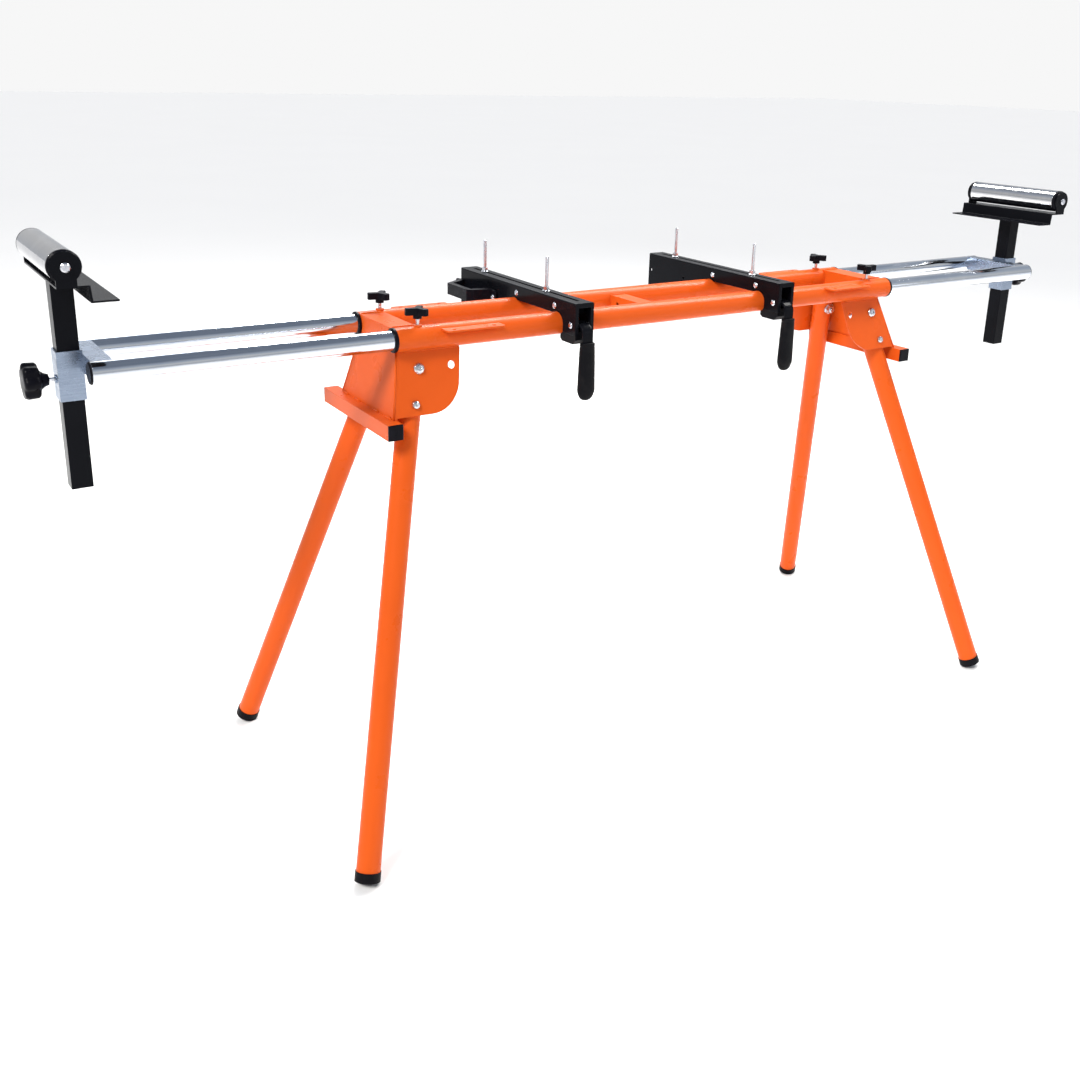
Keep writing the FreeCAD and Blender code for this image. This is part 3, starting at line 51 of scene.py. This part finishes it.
class Nodes:
    """A small helper that builds one node material around a Principled shader."""

    def __init__(self, name):
        self.material = bpy.data.materials.new(name)
        self.material.use_nodes = True
        self.tree = self.material.node_tree
        self.shader = self.tree.nodes["Principled BSDF"]
        self.place = self.tree.nodes.new("ShaderNodeTexCoord").outputs["Object"]

    def link(self, source, target):
        self.tree.links.new(source, target)

    def stretch(self, scale):
        node = self.tree.nodes.new("ShaderNodeMapping")
        node.inputs["Scale"].default_value = scale
        self.link(self.place, node.inputs["Vector"])
        return node.outputs["Vector"]

    def noise(self, scale, detail=2.0, vector=None, distortion=0.0):
        node = self.tree.nodes.new("ShaderNodeTexNoise")
        node.inputs["Scale"].default_value = scale
        node.inputs["Detail"].default_value = detail
        node.inputs["Distortion"].default_value = distortion
        self.link(vector or self.place, node.inputs["Vector"])
        return node.outputs["Fac"]

    def spread(self, value, low, high, to_low=0.0, to_high=1.0):
        node = self.tree.nodes.new("ShaderNodeMapRange")
        for key, number in (("From Min", low), ("From Max", high), ("To Min", to_low), ("To Max", to_high)):
            node.inputs[key].default_value = number
        self.link(value, node.inputs["Value"])
        return node.outputs["Result"]

    def math(self, kind, a, b):
        node = self.tree.nodes.new("ShaderNodeMath")
        node.operation = kind
        for socket, value in zip(node.inputs, (a, b)):
            if isinstance(value, (int, float)):
                socket.default_value = value
            else:
                self.link(value, socket)
        return node.outputs[0]

    def blend(self, factor, a, b):
        node = self.tree.nodes.new("ShaderNodeMix")
        node.data_type = "RGBA"
        self.link(factor, node.inputs["Factor"])
        for socket, value in ((node.inputs[6], a), (node.inputs[7], b)):
            if isinstance(value, tuple):
                socket.default_value = (*value, 1.0)
            else:
                self.link(value, socket)
        return node.outputs[2]

    def rounded(self, radius):
        node = self.tree.nodes.new("ShaderNodeBevel")
        node.samples = 4
        node.inputs["Radius"].default_value = radius
        return node.outputs["Normal"]

    def edges(self, radius):
        """1 along sharp edges, 0 on open faces."""
        face = self.tree.nodes.new("ShaderNodeNewGeometry").outputs["Normal"]
        dot = self.tree.nodes.new("ShaderNodeVectorMath")
        dot.operation = "DOT_PRODUCT"
        self.link(self.rounded(radius), dot.inputs[0])
        self.link(face, dot.inputs[1])
        return self.spread(dot.outputs["Value"], 0.99, 0.8)

    def bump(self, height, strength, distance, normal=None):
        node = self.tree.nodes.new("ShaderNodeBump")
        node.inputs["Strength"].default_value = strength
        node.inputs["Distance"].default_value = distance
        self.link(height, node.inputs["Height"])
        if normal is not None:
            self.link(normal, node.inputs["Normal"])
        return node.outputs["Normal"]

    def finish(self, color, roughness, normal, metallic=0.0, **fixed):
        self.link(color, self.shader.inputs["Base Color"])
        self.link(roughness, self.shader.inputs["Roughness"])
        self.link(normal, self.shader.inputs["Normal"])
        self.shader.inputs["Metallic"].default_value = metallic
        for key, value in fixed.items():
            self.shader.inputs[key.replace("_", " ")].default_value = value
        return self.material


def coat(name, base, deep, worn_and_highlight, rough, radius=0.0008, wear_and_highlight=0.6, **fixed):
    """Powder coat: faint orange peel, slow changes of tone, dust, and edges lightened partly by rubbed wear
    and partly as a painted edge highlight.
    """
    n = Nodes(name)
    tone = n.spread(n.noise(5.0, 3.0), 0.25, 0.8)
    color = n.blend(tone, base, deep)
    # Edges are lightened towards the worn colour: partly real rubbed wear, partly a painted edge highlight.
    scuff_and_glint_breakup = n.spread(n.noise(160.0, 5.0, distortion=0.6), 0.6, 0.75)
    rubbed_and_highlit = n.math("MULTIPLY", n.edges(radius * 1.6), n.math("MULTIPLY", scuff_and_glint_breakup, wear_and_highlight))
    color = n.blend(rubbed_and_highlit, color, worn_and_highlight)
    shine = n.spread(n.noise(22.0, 5.0), 0.3, 0.75, rough - 0.03, rough + 0.05)
    peel = n.bump(n.noise(620.0, 2.0), 0.16, 0.0003, n.rounded(radius))
    return n.finish(color, shine, peel, **fixed)


def plated(name, base, deep, rough, stretch, streak, radius=0.0006, **fixed):
    """Bright metal with fine drawing or turning lines."""
    n = Nodes(name)
    lines = n.noise(1.0, 3.0, n.stretch(stretch))
    cloud = n.noise(14.0, 5.0)
    color = n.blend(n.spread(n.math("ADD", lines, cloud), 0.75, 1.3), base, deep)
    shine = n.spread(lines, 0.3, 0.7, rough, rough + streak)
    shine = n.math("ADD", shine, n.spread(n.noise(60.0, 6.0), 0.5, 0.8, 0.0, 0.12))
    fine = n.bump(lines, 0.05, 0.0001, n.rounded(radius))
    return n.finish(color, shine, fine, metallic=1.0, **fixed)


def moulded(name, base, deep, rough, grain, depth, radius=0.0008, **fixed):
    """Moulded plastic or rubber with a fine grain and a little dust."""
    n = Nodes(name)
    dust = n.spread(n.noise(45.0, 6.0), 0.5, 0.78)
    color = n.blend(dust, base, deep)
    shine = n.spread(n.noise(80.0, 4.0), 0.3, 0.7, rough - 0.06, rough + 0.1)
    skin = n.bump(n.noise(grain, 3.0), 0.3, depth, n.rounded(radius))
    return n.finish(color, shine, skin, **fixed)


# The worn colours lighten edges for real rubbing and also paint an edge highlight; on the black coat the
# bluish worn colour is a painted highlight as well as wear.
ORANGE = coat(
    "orange_coat", base=(0.68, 0.098, 0.011), deep=(0.63, 0.086, 0.009), worn_and_highlight=(0.86, 0.25, 0.12),
    rough=0.29, radius=0.0014, wear_and_highlight=0.4, Coat_Weight=0.03, Coat_Roughness=0.1, Specular_IOR_Level=0.1)
BLACK = coat(
    "black_coat", base=(0.003, 0.0033, 0.0048), deep=(0.006, 0.0065, 0.009), worn_and_highlight=(0.12, 0.14, 0.18),
    rough=0.2, radius=0.0011, wear_and_highlight=0.5, Coat_Weight=0.015, Coat_Roughness=0.08, Specular_IOR_Level=0.05)
CHROME = plated(
    "chromed_tube", base=(0.76, 0.79, 0.83), deep=(0.62, 0.67, 0.75), rough=0.05,
    stretch=(2.0, 900.0, 900.0), streak=0.07)
ZINC = plated(
    "zinc_plate", base=(0.3, 0.36, 0.46), deep=(0.24, 0.29, 0.38), rough=0.24,
    stretch=(14.0, 14.0, 400.0), streak=0.05)
ROLLER = plated(
    "roller_steel", base=(0.72, 0.72, 0.73), deep=(0.58, 0.58, 0.6), rough=0.07,
    stretch=(6.0, 1400.0, 6.0), streak=0.08)
BOLT = plated(
    "bolt_steel", base=(0.74, 0.75, 0.78), deep=(0.5, 0.52, 0.58), rough=0.18,
    stretch=(500.0, 500.0, 500.0), streak=0.12, radius=0.0005)
PLASTIC = moulded(
    "black_plastic", base=(0.004, 0.004, 0.0065), deep=(0.009, 0.009, 0.014), rough=0.3,
    grain=1700.0, depth=0.0002, Specular_IOR_Level=0.07)
RUBBER = moulded(
    "black_rubber", base=(0.005, 0.005, 0.0065), deep=(0.012, 0.0115, 0.0125), rough=0.42,
    grain=1100.0, depth=0.0004, Specular_IOR_Level=0.06)

# The start of a node's name gives its material, and the longest start that fits counts.
LOOKS = {
    "main_tube": ORANGE, "cross_members": ORANGE, "leg_bracket": ORANGE, "crossbars": ORANGE,
    "crossbar_caps": PLASTIC, "accessory_strips": ORANGE, "tube_bushes": PLASTIC, "pivot_bolts": BOLT,
    "leg_front": ORANGE, "leg_rear": ORANGE, "foot": RUBBER, "lock_button": BOLT,
    "lock_knob": PLASTIC, "extension_tubes": CHROME, "extension_ends": PLASTIC, "yoke": ZINC,
    "post": BLACK, "roller_bracket": BLACK, "roller_axle": BOLT, "roller_caps": PLASTIC,
    "roller": ROLLER, "star_knob": PLASTIC, "mount_channel": BLACK, "mount_pads": RUBBER,
    "mount_rivets": BOLT, "saw_studs": BOLT, "carry_handle": PLASTIC, "clamp_lever": BLACK,
    "lever_grip": RUBBER, "clamp_jaw": RUBBER,
}


def look_of(node):
    return LOOKS[max((start for start in LOOKS if node.startswith(start)), key=len)]


for name, obj in NODES.items():
    for slot in obj.material_slots:
        slot.material = look_of(name)
    if not obj.material_slots:
        obj.data.materials.append(look_of(name))


# ---------------------------------------------------------------- pieces built on the frame

def make_piece(name, verts, faces, material, slot, body, smooth=True):
    mesh = bpy.data.meshes.new(name)
    mesh.from_pydata([tuple(v) for v in verts], [], faces)
    work = bmesh.new()
    work.from_mesh(mesh)
    bmesh.ops.recalc_face_normals(work, faces=work.faces)
    work.to_mesh(mesh)
    work.free()
    for face in mesh.polygons:
        face.use_smooth = smooth
    mesh.materials.append(material)
    obj = bpy.data.objects.new(name, mesh)
    bpy.context.scene.collection.objects.link(obj)
    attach(obj, body)
    return obj


def skin(rings):
    """Vertices and faces of a closed body through rings that have the same number of points."""
    count = len(rings[0])
    verts = [point for ring in rings for point in ring]
    faces = [tuple(range(count))[::-1], tuple(range(len(verts) - count, len(verts)))]
    for row in range(len(rings) - 1):
        for i in range(count):
            a, b = row * count + i, row * count + (i + 1) % count
            faces.append((a, b, b + count, a + count))
    return verts, faces


def join_parts(parts):
    """One vertex and face list out of several closed bodies."""
    verts, faces = [], []
    for more_verts, more_faces in parts:
        shift = len(verts)
        verts += more_verts
        faces += [tuple(i + shift for i in face) for face in more_faces]
    return verts, faces


def axes_about(direction):
    along = Vector(direction).normalized()
    helper = Vector((0, 0, 1)) if abs(along.z) < 0.9 else Vector((1, 0, 0))
    across = along.cross(helper).normalized()
    return along, across, along.cross(across)


def turned(start, direction, profile, sides=32, wave=0.0, lobes=0):
    """A turned body: profile is (distance along, radius), and `wave` and `lobes` scallop its wide part."""
    along, across, upward = axes_about(direction)
    widest = max(radius for _, radius in profile)
    rings = []
    for reach, radius in profile:
        ring = []
        for i in range(sides):
            angle = 2 * math.pi * i / sides
            here = radius
            if lobes and radius > 0.6 * widest:
                here = radius * (1 - wave * (0.5 - 0.5 * math.cos(lobes * angle)) ** 1.5)
            around = across * math.cos(angle) + upward * math.sin(angle)
            ring.append(Vector(start) + along * reach + around * here)
        rings.append(ring)
    return skin(rings)


BEAD_SIDES = 10


def bead(start, end, radius):
    """A weld: a half-sunk rod whose surface ripples along its length."""
    start, end = Vector(start), Vector(end)
    along, across, upward = axes_about(end - start)
    length = (end - start).length
    steps = max(6, int(length / (0.9 * MM)))
    turns = [2 * math.pi * i / BEAD_SIDES for i in range(BEAD_SIDES)]
    rings = []
    for k in range(steps + 1):
        reach = length * k / steps
        taper = min(1.0, 0.35 + min(reach, length - reach) / (3 * radius))
        ripple = 1 + 0.13 * math.sin(reach / MM * 2.1) + 0.05 * math.sin(reach / MM * 0.63)
        here = radius * taper * ripple
        rings.append([start + along * reach + (across * math.cos(a) + upward * math.sin(a)) * here
                      for a in turns])
    return skin(rings)


def solids(node):
    """The boxes of a CAD node's separate bodies."""
    work = bmesh.new()
    work.from_mesh(NODES[node].data)
    bmesh.ops.remove_doubles(work, verts=work.verts, dist=1e-6)
    left, boxes = set(work.verts), []
    while left:
        stack, found = [left.pop()], []
        while stack:
            vert = stack.pop()
            found.append(vert.co.copy())
            for edge in vert.link_edges:
                other = edge.other_vert(vert)
                if other in left:
                    left.remove(other)
                    stack.append(other)
        boxes.append([Vector([f(p[i] for p in found) for i in range(3)]) for f in (min, max)])
    work.free()
    return sorted(boxes, key=lambda pair: tuple(round(v, 5) for v in pair[0]))


# The front tube's box, which takes in the low boss under each lock knob.
TUBE_LOW, TUBE_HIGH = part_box("main_tube_front")
TUBE_R = (TUBE_HIGH.z - TUBE_LOW.z) / 2
TUBE_Z = (TUBE_HIGH.z + TUBE_LOW.z) / 2
TUBE_Y = abs(TUBE_HIGH.y + TUBE_LOW.y) / 2
TUBE_END = TUBE_HIGH.x

WELD = 1.9 * MM
CHANNEL_WELD = 1.7 * MM
FOLD = 1.9 * MM
BAR_WELD_SPOTS = (35 * MM, 84 * MM)
BAR_WELD_HALF = 11 * MM
KNOB_STEM = 12 * MM


def make_welds():
    """Welds where the brackets, crossbars and cross members meet the tubes."""
    parts = []
    bar_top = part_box("crossbars")[1].z
    under = TUBE_Z - TUBE_R - 0.6 * MM
    for side_name, side in SIDES:
        low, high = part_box(f"leg_bracket_{side_name}")
        inner = min(abs(low.x), abs(high.x))
        foot = max(abs(low.x), abs(high.x))
        for _, row in ROWS:
            y = row * (TUBE_Y + 1.4 * MM)
            first, last = side * (inner + 5 * MM), side * (TUBE_END - 14 * MM)
            parts.append(bead((first, y, under), (last, y, under), WELD))
            for spot in BAR_WELD_SPOTS:
                ends = [(side * (foot + 0.9 * MM), row * (spot + shift), bar_top + 0.6 * MM)
                        for shift in (-BAR_WELD_HALF, BAR_WELD_HALF)]
                parts.append(bead(*ends, WELD))
    for low, high in solids("cross_members"):
        drop = high.z - TUBE_Z
        reach = TUBE_Y - math.sqrt(max(TUBE_R ** 2 - drop ** 2, 0)) - 0.8 * MM
        for _, row in ROWS:
            parts.append(bead((low.x + 2 * MM, row * reach, high.z + 0.3 * MM),
                              (high.x - 2 * MM, row * reach, high.z + 0.3 * MM), CHANNEL_WELD))
    make_piece("frame_welds", *join_parts(parts), ORANGE, "orange_coat", "frame")


def make_folds():
    """The rounded fold between each bracket's end plate and its two flanges."""
    parts = []
    for side_name, side in SIDES:
        points = [v.co for v in NODES[f"leg_bracket_{side_name}"].data.vertices]
        for _, row in ROWS:
            lower = max(points, key=lambda co: side * co.x + row * co.y)
            near = [co for co in points
                    if abs(row * co.y - TUBE_Y) < 5 * MM and co.z > TUBE_Z - TUBE_R - 5 * MM]
            upper = max(near, key=lambda co: side * co.x)
            inset = Vector((-side, -row, 0)) * 1.0 * MM
            run = lower - upper
            parts.append(turned(upper + inset, run, [(0, FOLD), (run.length - 1 * MM, FOLD)], sides=20))
    make_piece("bracket_folds", *join_parts(parts), ORANGE, "orange_coat", "frame")


def rounded_ring(centre, across, upward, half_wide, half_deep, power, count=28):
    """One ring between an ellipse (power 2) and a rectangle (a high power)."""
    points = []
    for i in range(count):
        angle = 2 * math.pi * i / count
        c, s = math.cos(angle), math.sin(angle)
        u = math.copysign(abs(c) ** (2 / power), c) * half_wide
        v = math.copysign(abs(s) ** (2 / power), s) * half_deep
        points.append(centre + across * u + upward * v)
    return points


def make_grip(side_name):
    """A moulded grip: a collar at its neck, a slowly widening body and a rounded end."""
    node = f"lever_grip_{side_name}"
    low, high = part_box(node)
    middle = (low + high) / 2
    wide, deep, length = (high.x - low.x) / 2, (high.y - low.y) / 2, high.z - low.z
    across, outward = Vector((1, 0, 0)), Vector((0, 1, 0))
    collar, waist, shoulder, steps = 0.075, 0.83, 0.8, 12
    # (share of the length from the top, share of the full width)
    stations = [(0.0, 0.72), (0.004, 0.8), (0.02, waist), (0.05, waist), (0.057, 0.79), (0.064, 0.79),
                (collar, waist)]
    for k in range(1, steps + 1):
        t = collar + (shoulder - collar) * k / steps
        stations.append((t, waist + 0.17 * ((t - collar) / 0.725) ** 0.8))
    for k in range(1, steps + 1):
        angle = math.pi / 2 * k / steps
        stations.append((shoulder + 0.2 * math.sin(angle), max(math.cos(angle) ** 0.8, 0.04)))
    rings = []
    for t, share in stations:
        thick = deep * (0.8 + 0.2 * share if t < shoulder else share)
        rings.append(rounded_ring(Vector((middle.x, middle.y, high.z - t * length)), across, outward,
                                  wide * share, min(thick, deep), power=2.5 if t < 0.86 else 2.2))
    grip = make_piece(f"grip_{side_name}", *skin(rings), RUBBER, "black_rubber", f"lever_{side_name}")
    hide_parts(node)


def smooth_path(route, steps=8):
    """A Catmull-Rom curve through the points of a route."""
    last = len(route) - 1
    path = []
    for k in range(last):
        p0, p1, p2, p3 = (route[max(0, min(last, k + d))] for d in (-1, 0, 1, 2))
        for step in range(steps):
            t = step / steps
            path.append(0.5 * (2 * p1 + (p2 - p0) * t + (2 * p0 - 5 * p1 + 4 * p2 - p3) * t * t
                               + (3 * p1 - p0 - 3 * p2 + p3) * t ** 3))
    return path + [route[-1]]


def make_strap(side_name):
    """The lever's strap, bent in one smooth gooseneck out of the mount's mouth and down into the grip."""
    node = f"clamp_lever_{side_name}"
    low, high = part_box(node)
    grip_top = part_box(f"lever_grip_{side_name}")[1].z
    x, half = (low.x + high.x) / 2, (high.x - low.x) / 2
    eye_r, strap_half = 8 * MM, 2.5 * MM
    eye = Vector((x, high.y - eye_r, high.z - eye_r))
    down = low.y + strap_half
    path = smooth_path([
        Vector((x, eye.y, eye.z + 1 * MM)),
        Vector((x, eye.y - 8 * MM, eye.z + 2.2 * MM)),
        Vector((x, (eye.y + down) / 2 - 3 * MM, eye.z + 0.6 * MM)),
        Vector((x, down + 1.6 * MM, eye.z - 7 * MM)),
        Vector((x, down, eye.z - 17 * MM)),
        Vector((x, down, grip_top - 6 * MM)),
    ])
    rings = []
    for k, point in enumerate(path):
        along = (path[min(k + 1, len(path) - 1)] - path[max(k - 1, 0)]).normalized()
        normal = Vector((0, -along.z, along.y))
        rings.append(rounded_ring(point, Vector((1, 0, 0)), normal, half, strap_half, power=7, count=32))
    eye_profile = [(0, eye_r - 1 * MM), (0.5 * MM, eye_r),
                   (2 * half - 0.5 * MM, eye_r), (2 * half, eye_r - 1 * MM)]
    parts = [skin(rings), turned((x - half, eye.y, eye.z), (1, 0, 0), eye_profile)]
    strap = make_piece(f"strap_{side_name}", *join_parts(parts), BLACK, "black_coat", f"lever_{side_name}")
    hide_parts(node)


def make_star(side_name, side):
    """A scalloped moulded knob on a short plated screw."""
    node = f"star_knob_{side_name}"
    low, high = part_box(node)
    radius = (high.z - low.z) / 2
    outer, inner = (high.x, low.x) if side > 0 else (low.x, high.x)
    centre = Vector((outer, (low.y + high.y) / 2, (low.z + high.z) / 2))
    reach = abs(outer - inner)
    head = 27 * MM
    profile = [
        (0.0, radius * 0.3), (0.0, radius * 0.72), (0.6 * MM, radius * 0.86), (2.4 * MM, radius * 0.96),
        (5 * MM, radius), (head - 9 * MM, radius * 0.97), (head - 6 * MM, radius * 0.88),
        (head - 4.5 * MM, radius * 0.62), (head - 3 * MM, radius * 0.5), (head + 2 * MM, radius * 0.36),
        (head + 7 * MM, radius * 0.3), (head + 7.5 * MM, radius * 0.22)]
    head_skin = turned(centre, (-side, 0, 0), profile, sides=112, wave=0.13, lobes=7)
    knob = make_piece(f"star_{side_name}", *head_skin, PLASTIC, "black_plastic", node)
    screw = [(head + 7 * MM, 2.9 * MM)]
    while screw[-1][0] < reach - 1.2 * MM:
        screw += [(screw[-1][0] + 0.5 * MM, 2.5 * MM), (screw[-1][0] + 1.0 * MM, 3.0 * MM)]
    stem = make_piece(f"star_screw_{side_name}", *turned(centre, (-side, 0, 0), screw, sides=20), BOLT,
                      "bolt_steel", node)
    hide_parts(node)
    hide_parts(node)


def make_handle_screws(side_name, side):
    """Tabs and pan-head screws that hold the carry handle on the mount's outer wall."""
    low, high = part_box(f"mount_channel_{side_name}")
    handle_low, handle_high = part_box(f"carry_handle_{side_name}")
    wall = max(abs(low.x), abs(high.x))
    z = (handle_low.z + handle_high.z) / 2
    half_high = (handle_high.z - handle_low.z) / 2 - 0.5 * MM
    tab_half, tab_thick, tab_power = 13 * MM, 4.2 * MM, 2 / 0.45
    # (distance out of the wall, share of the tab's size)
    tab_profile = ((0, 0.6), (0.5 * MM, 1.0), (3.6 * MM, 1.0), (tab_thick, 0.93))
    screw_profile = [(0, 5.2 * MM), (1.2 * MM, 5.2 * MM), (2.4 * MM, 4.2 * MM),
                     (3.0 * MM, 2.6 * MM), (3.1 * MM, 2.2 * MM), (1.6 * MM, 1.6 * MM)]
    tabs, heads = [], []
    for y, way in ((handle_low.y, -1), (handle_high.y, 1)):
        start = y - way * 6 * MM
        tabs.append(skin([
            rounded_ring(Vector((side * (wall + shift), start + way * 8 * MM, z)), Vector((0, 1, 0)),
                         Vector((0, 0, 1)), tab_half * size, half_high * size, tab_power, count=40)
            for shift, size in tab_profile]))
        spot = Vector((side * (wall + tab_thick), start + way * 12 * MM, z - 2.5 * MM))
        heads.append(turned(spot, (side, 0, 0), screw_profile))
    make_piece(f"handle_tabs_{side_name}", *join_parts(tabs), PLASTIC, "black_plastic", f"mount_{side_name}")
    make_piece(f"handle_screws_{side_name}", *join_parts(heads), BOLT, "bolt_steel", f"mount_{side_name}")


def plate_stems():
    """The lock knobs' screws are plated steel; the moulded head stays black."""
    hub = TUBE_Z + TUBE_R + KNOB_STEM
    for side_name, _ in SIDES:
        for row_name, _ in ROWS:
            mesh = NODES[f"lock_knob_{row_name}_{side_name}"].data
            if len(mesh.materials) < 2:
                mesh.materials.append(BOLT)
            for face in mesh.polygons:
                if face.center.z < hub - 0.05 * MM:
                    face.material_index = 1


make_welds()
make_folds()
for side_name, side in SIDES:
    make_grip(side_name)
    make_strap(side_name)
    make_star(side_name, side)
    make_handle_screws(side_name, side)
plate_stems()


# ---------------------------------------------------------------- stage, light, camera

def area_light(name, place, target, width, height, watts, color):
    data = bpy.data.lights.new(name, "AREA")
    data.shape = "RECTANGLE"
    data.size = width
    data.size_y = height
    data.energy = watts
    data.color = color
    obj = bpy.data.objects.new(name, data)
    obj.location = place
    obj.rotation_euler = (Vector(target) - Vector(place)).to_track_quat("-Z", "Y").to_euler()
    bpy.context.scene.collection.objects.link(obj)


def sun_light(name, toward, strength, spread, color):
    """A broad, even lamp far away in the direction `toward`."""
    data = bpy.data.lights.new(name, "SUN")
    data.energy = strength
    data.angle = math.radians(spread)
    data.color = color
    obj = bpy.data.objects.new(name, data)
    obj.rotation_euler = (-Vector(toward)).to_track_quat("-Z", "Y").to_euler()
    bpy.context.scene.collection.objects.link(obj)


def make_floor():
    mesh = bpy.data.meshes.new("floor")
    edge = 40.0
    corners = [(-edge, -edge, 0), (edge, -edge, 0), (edge, edge, 0), (-edge, edge, 0)]
    mesh.from_pydata(corners, [], [(0, 1, 2, 3)])
    obj = bpy.data.objects.new("floor", mesh)
    bpy.context.scene.collection.objects.link(obj)
    n = Nodes("floor_paint")
    color = n.blend(n.noise(0.8, 2.0), (0.94, 0.935, 0.925), (0.92, 0.915, 0.905))
    rough = n.spread(n.noise(3.0, 2.0), 0.3, 0.7, 0.75, 0.85)
    grain = n.bump(n.noise(40.0), 0.02, 0.001)
    obj.data.materials.append(n.finish(color, rough, grain, Specular_IOR_Level=0.2))


def make_world():
    """A gradient that lights the stand and shows in the metal; the camera itself sees a plain pale grey."""
    world = bpy.data.worlds.new("studio")
    bpy.context.scene.world = world
    world.use_nodes = True
    tree = world.node_tree
    back = tree.nodes["Background"]
    place = tree.nodes.new("ShaderNodeTexCoord")
    split = tree.nodes.new("ShaderNodeSeparateXYZ")
    ramp = tree.nodes.new("ShaderNodeValToRGB")
    stops = ((0.0, (0.8, 0.83, 0.88)), (0.3, (1.0, 1.0, 1.0)),
             (0.55, (0.7, 0.77, 0.88)), (0.8, (0.3, 0.35, 0.44)))
    ramp.color_ramp.elements.new(0.3)
    ramp.color_ramp.elements.new(0.6)
    for stop, (position, color) in zip(ramp.color_ramp.elements, stops):
        stop.position = position
        stop.color = (*color, 1)
    tree.links.new(place.outputs["Generated"], split.inputs[0])
    tree.links.new(split.outputs["Z"], ramp.inputs["Fac"])
    tree.links.new(ramp.outputs["Color"], back.inputs["Color"])
    back.inputs["Strength"].default_value = 0.6
    plain = tree.nodes.new("ShaderNodeBackground")
    plain.inputs["Color"].default_value = (0.93, 0.93, 0.93, 1)
    plain.inputs["Strength"].default_value = 1.0
    seen = tree.nodes.new("ShaderNodeLightPath")
    mix = tree.nodes.new("ShaderNodeMixShader")
    tree.links.new(seen.outputs["Is Camera Ray"], mix.inputs["Fac"])
    tree.links.new(back.outputs[0], mix.inputs[1])
    tree.links.new(plain.outputs[0], mix.inputs[2])
    tree.links.new(mix.outputs[0], tree.nodes["World Output"].inputs["Surface"])


def make_camera():
    """The camera stands left of and in front of the stand, a little above it."""
    yaw, pitch, roll = (math.radians(a) for a in (32.805, 18.281, 1.442))
    forward = Vector((math.sin(yaw) * math.cos(pitch), math.cos(yaw) * math.cos(pitch), -math.sin(pitch)))
    level = Vector((math.cos(yaw), -math.sin(yaw), 0))
    upright = level.cross(forward)
    right = level * math.cos(roll) + upright * math.sin(roll)
    up = upright * math.cos(roll) - level * math.sin(roll)
    data = bpy.data.cameras.new("camera")
    data.sensor_width = 36.0
    data.lens = 39.21
    data.shift_x = -0.012
    data.shift_y = -0.0805
    data.clip_end = 200
    obj = bpy.data.objects.new("camera", data)
    turn = Matrix((right, up, -forward)).transposed().to_4x4()
    obj.matrix_world = Matrix.Translation((-1.2969, -1.7047, 1.2118)) @ turn
    bpy.context.scene.collection.objects.link(obj)
    bpy.context.scene.camera = obj


make_floor()
make_world()
make_camera()
sun_light("key", toward=(-0.62, -0.3, 0.72), strength=2.9, spread=20, color=(1.0, 0.975, 0.94))
area_light("fill", place=(2.8, -3.4, 2.2), target=(0, 0, 0.6), width=2.4, height=1.8, watts=12,
           color=(0.93, 0.96, 1.0))
area_light("strip", place=(1.5, 0.95, 3.2), target=(0, 0, 0.8), width=4.2, height=0.5, watts=190,
           color=(1.0, 0.98, 0.95))
area_light("rim", place=(0.6, 3.6, 3.0), target=(0, 0, 0.7), width=3.6, height=1.2, watts=45,
           color=(0.96, 0.98, 1.0))

scene = bpy.context.scene
scene.view_settings.view_transform = "Standard"
scene.view_settings.look = "None"
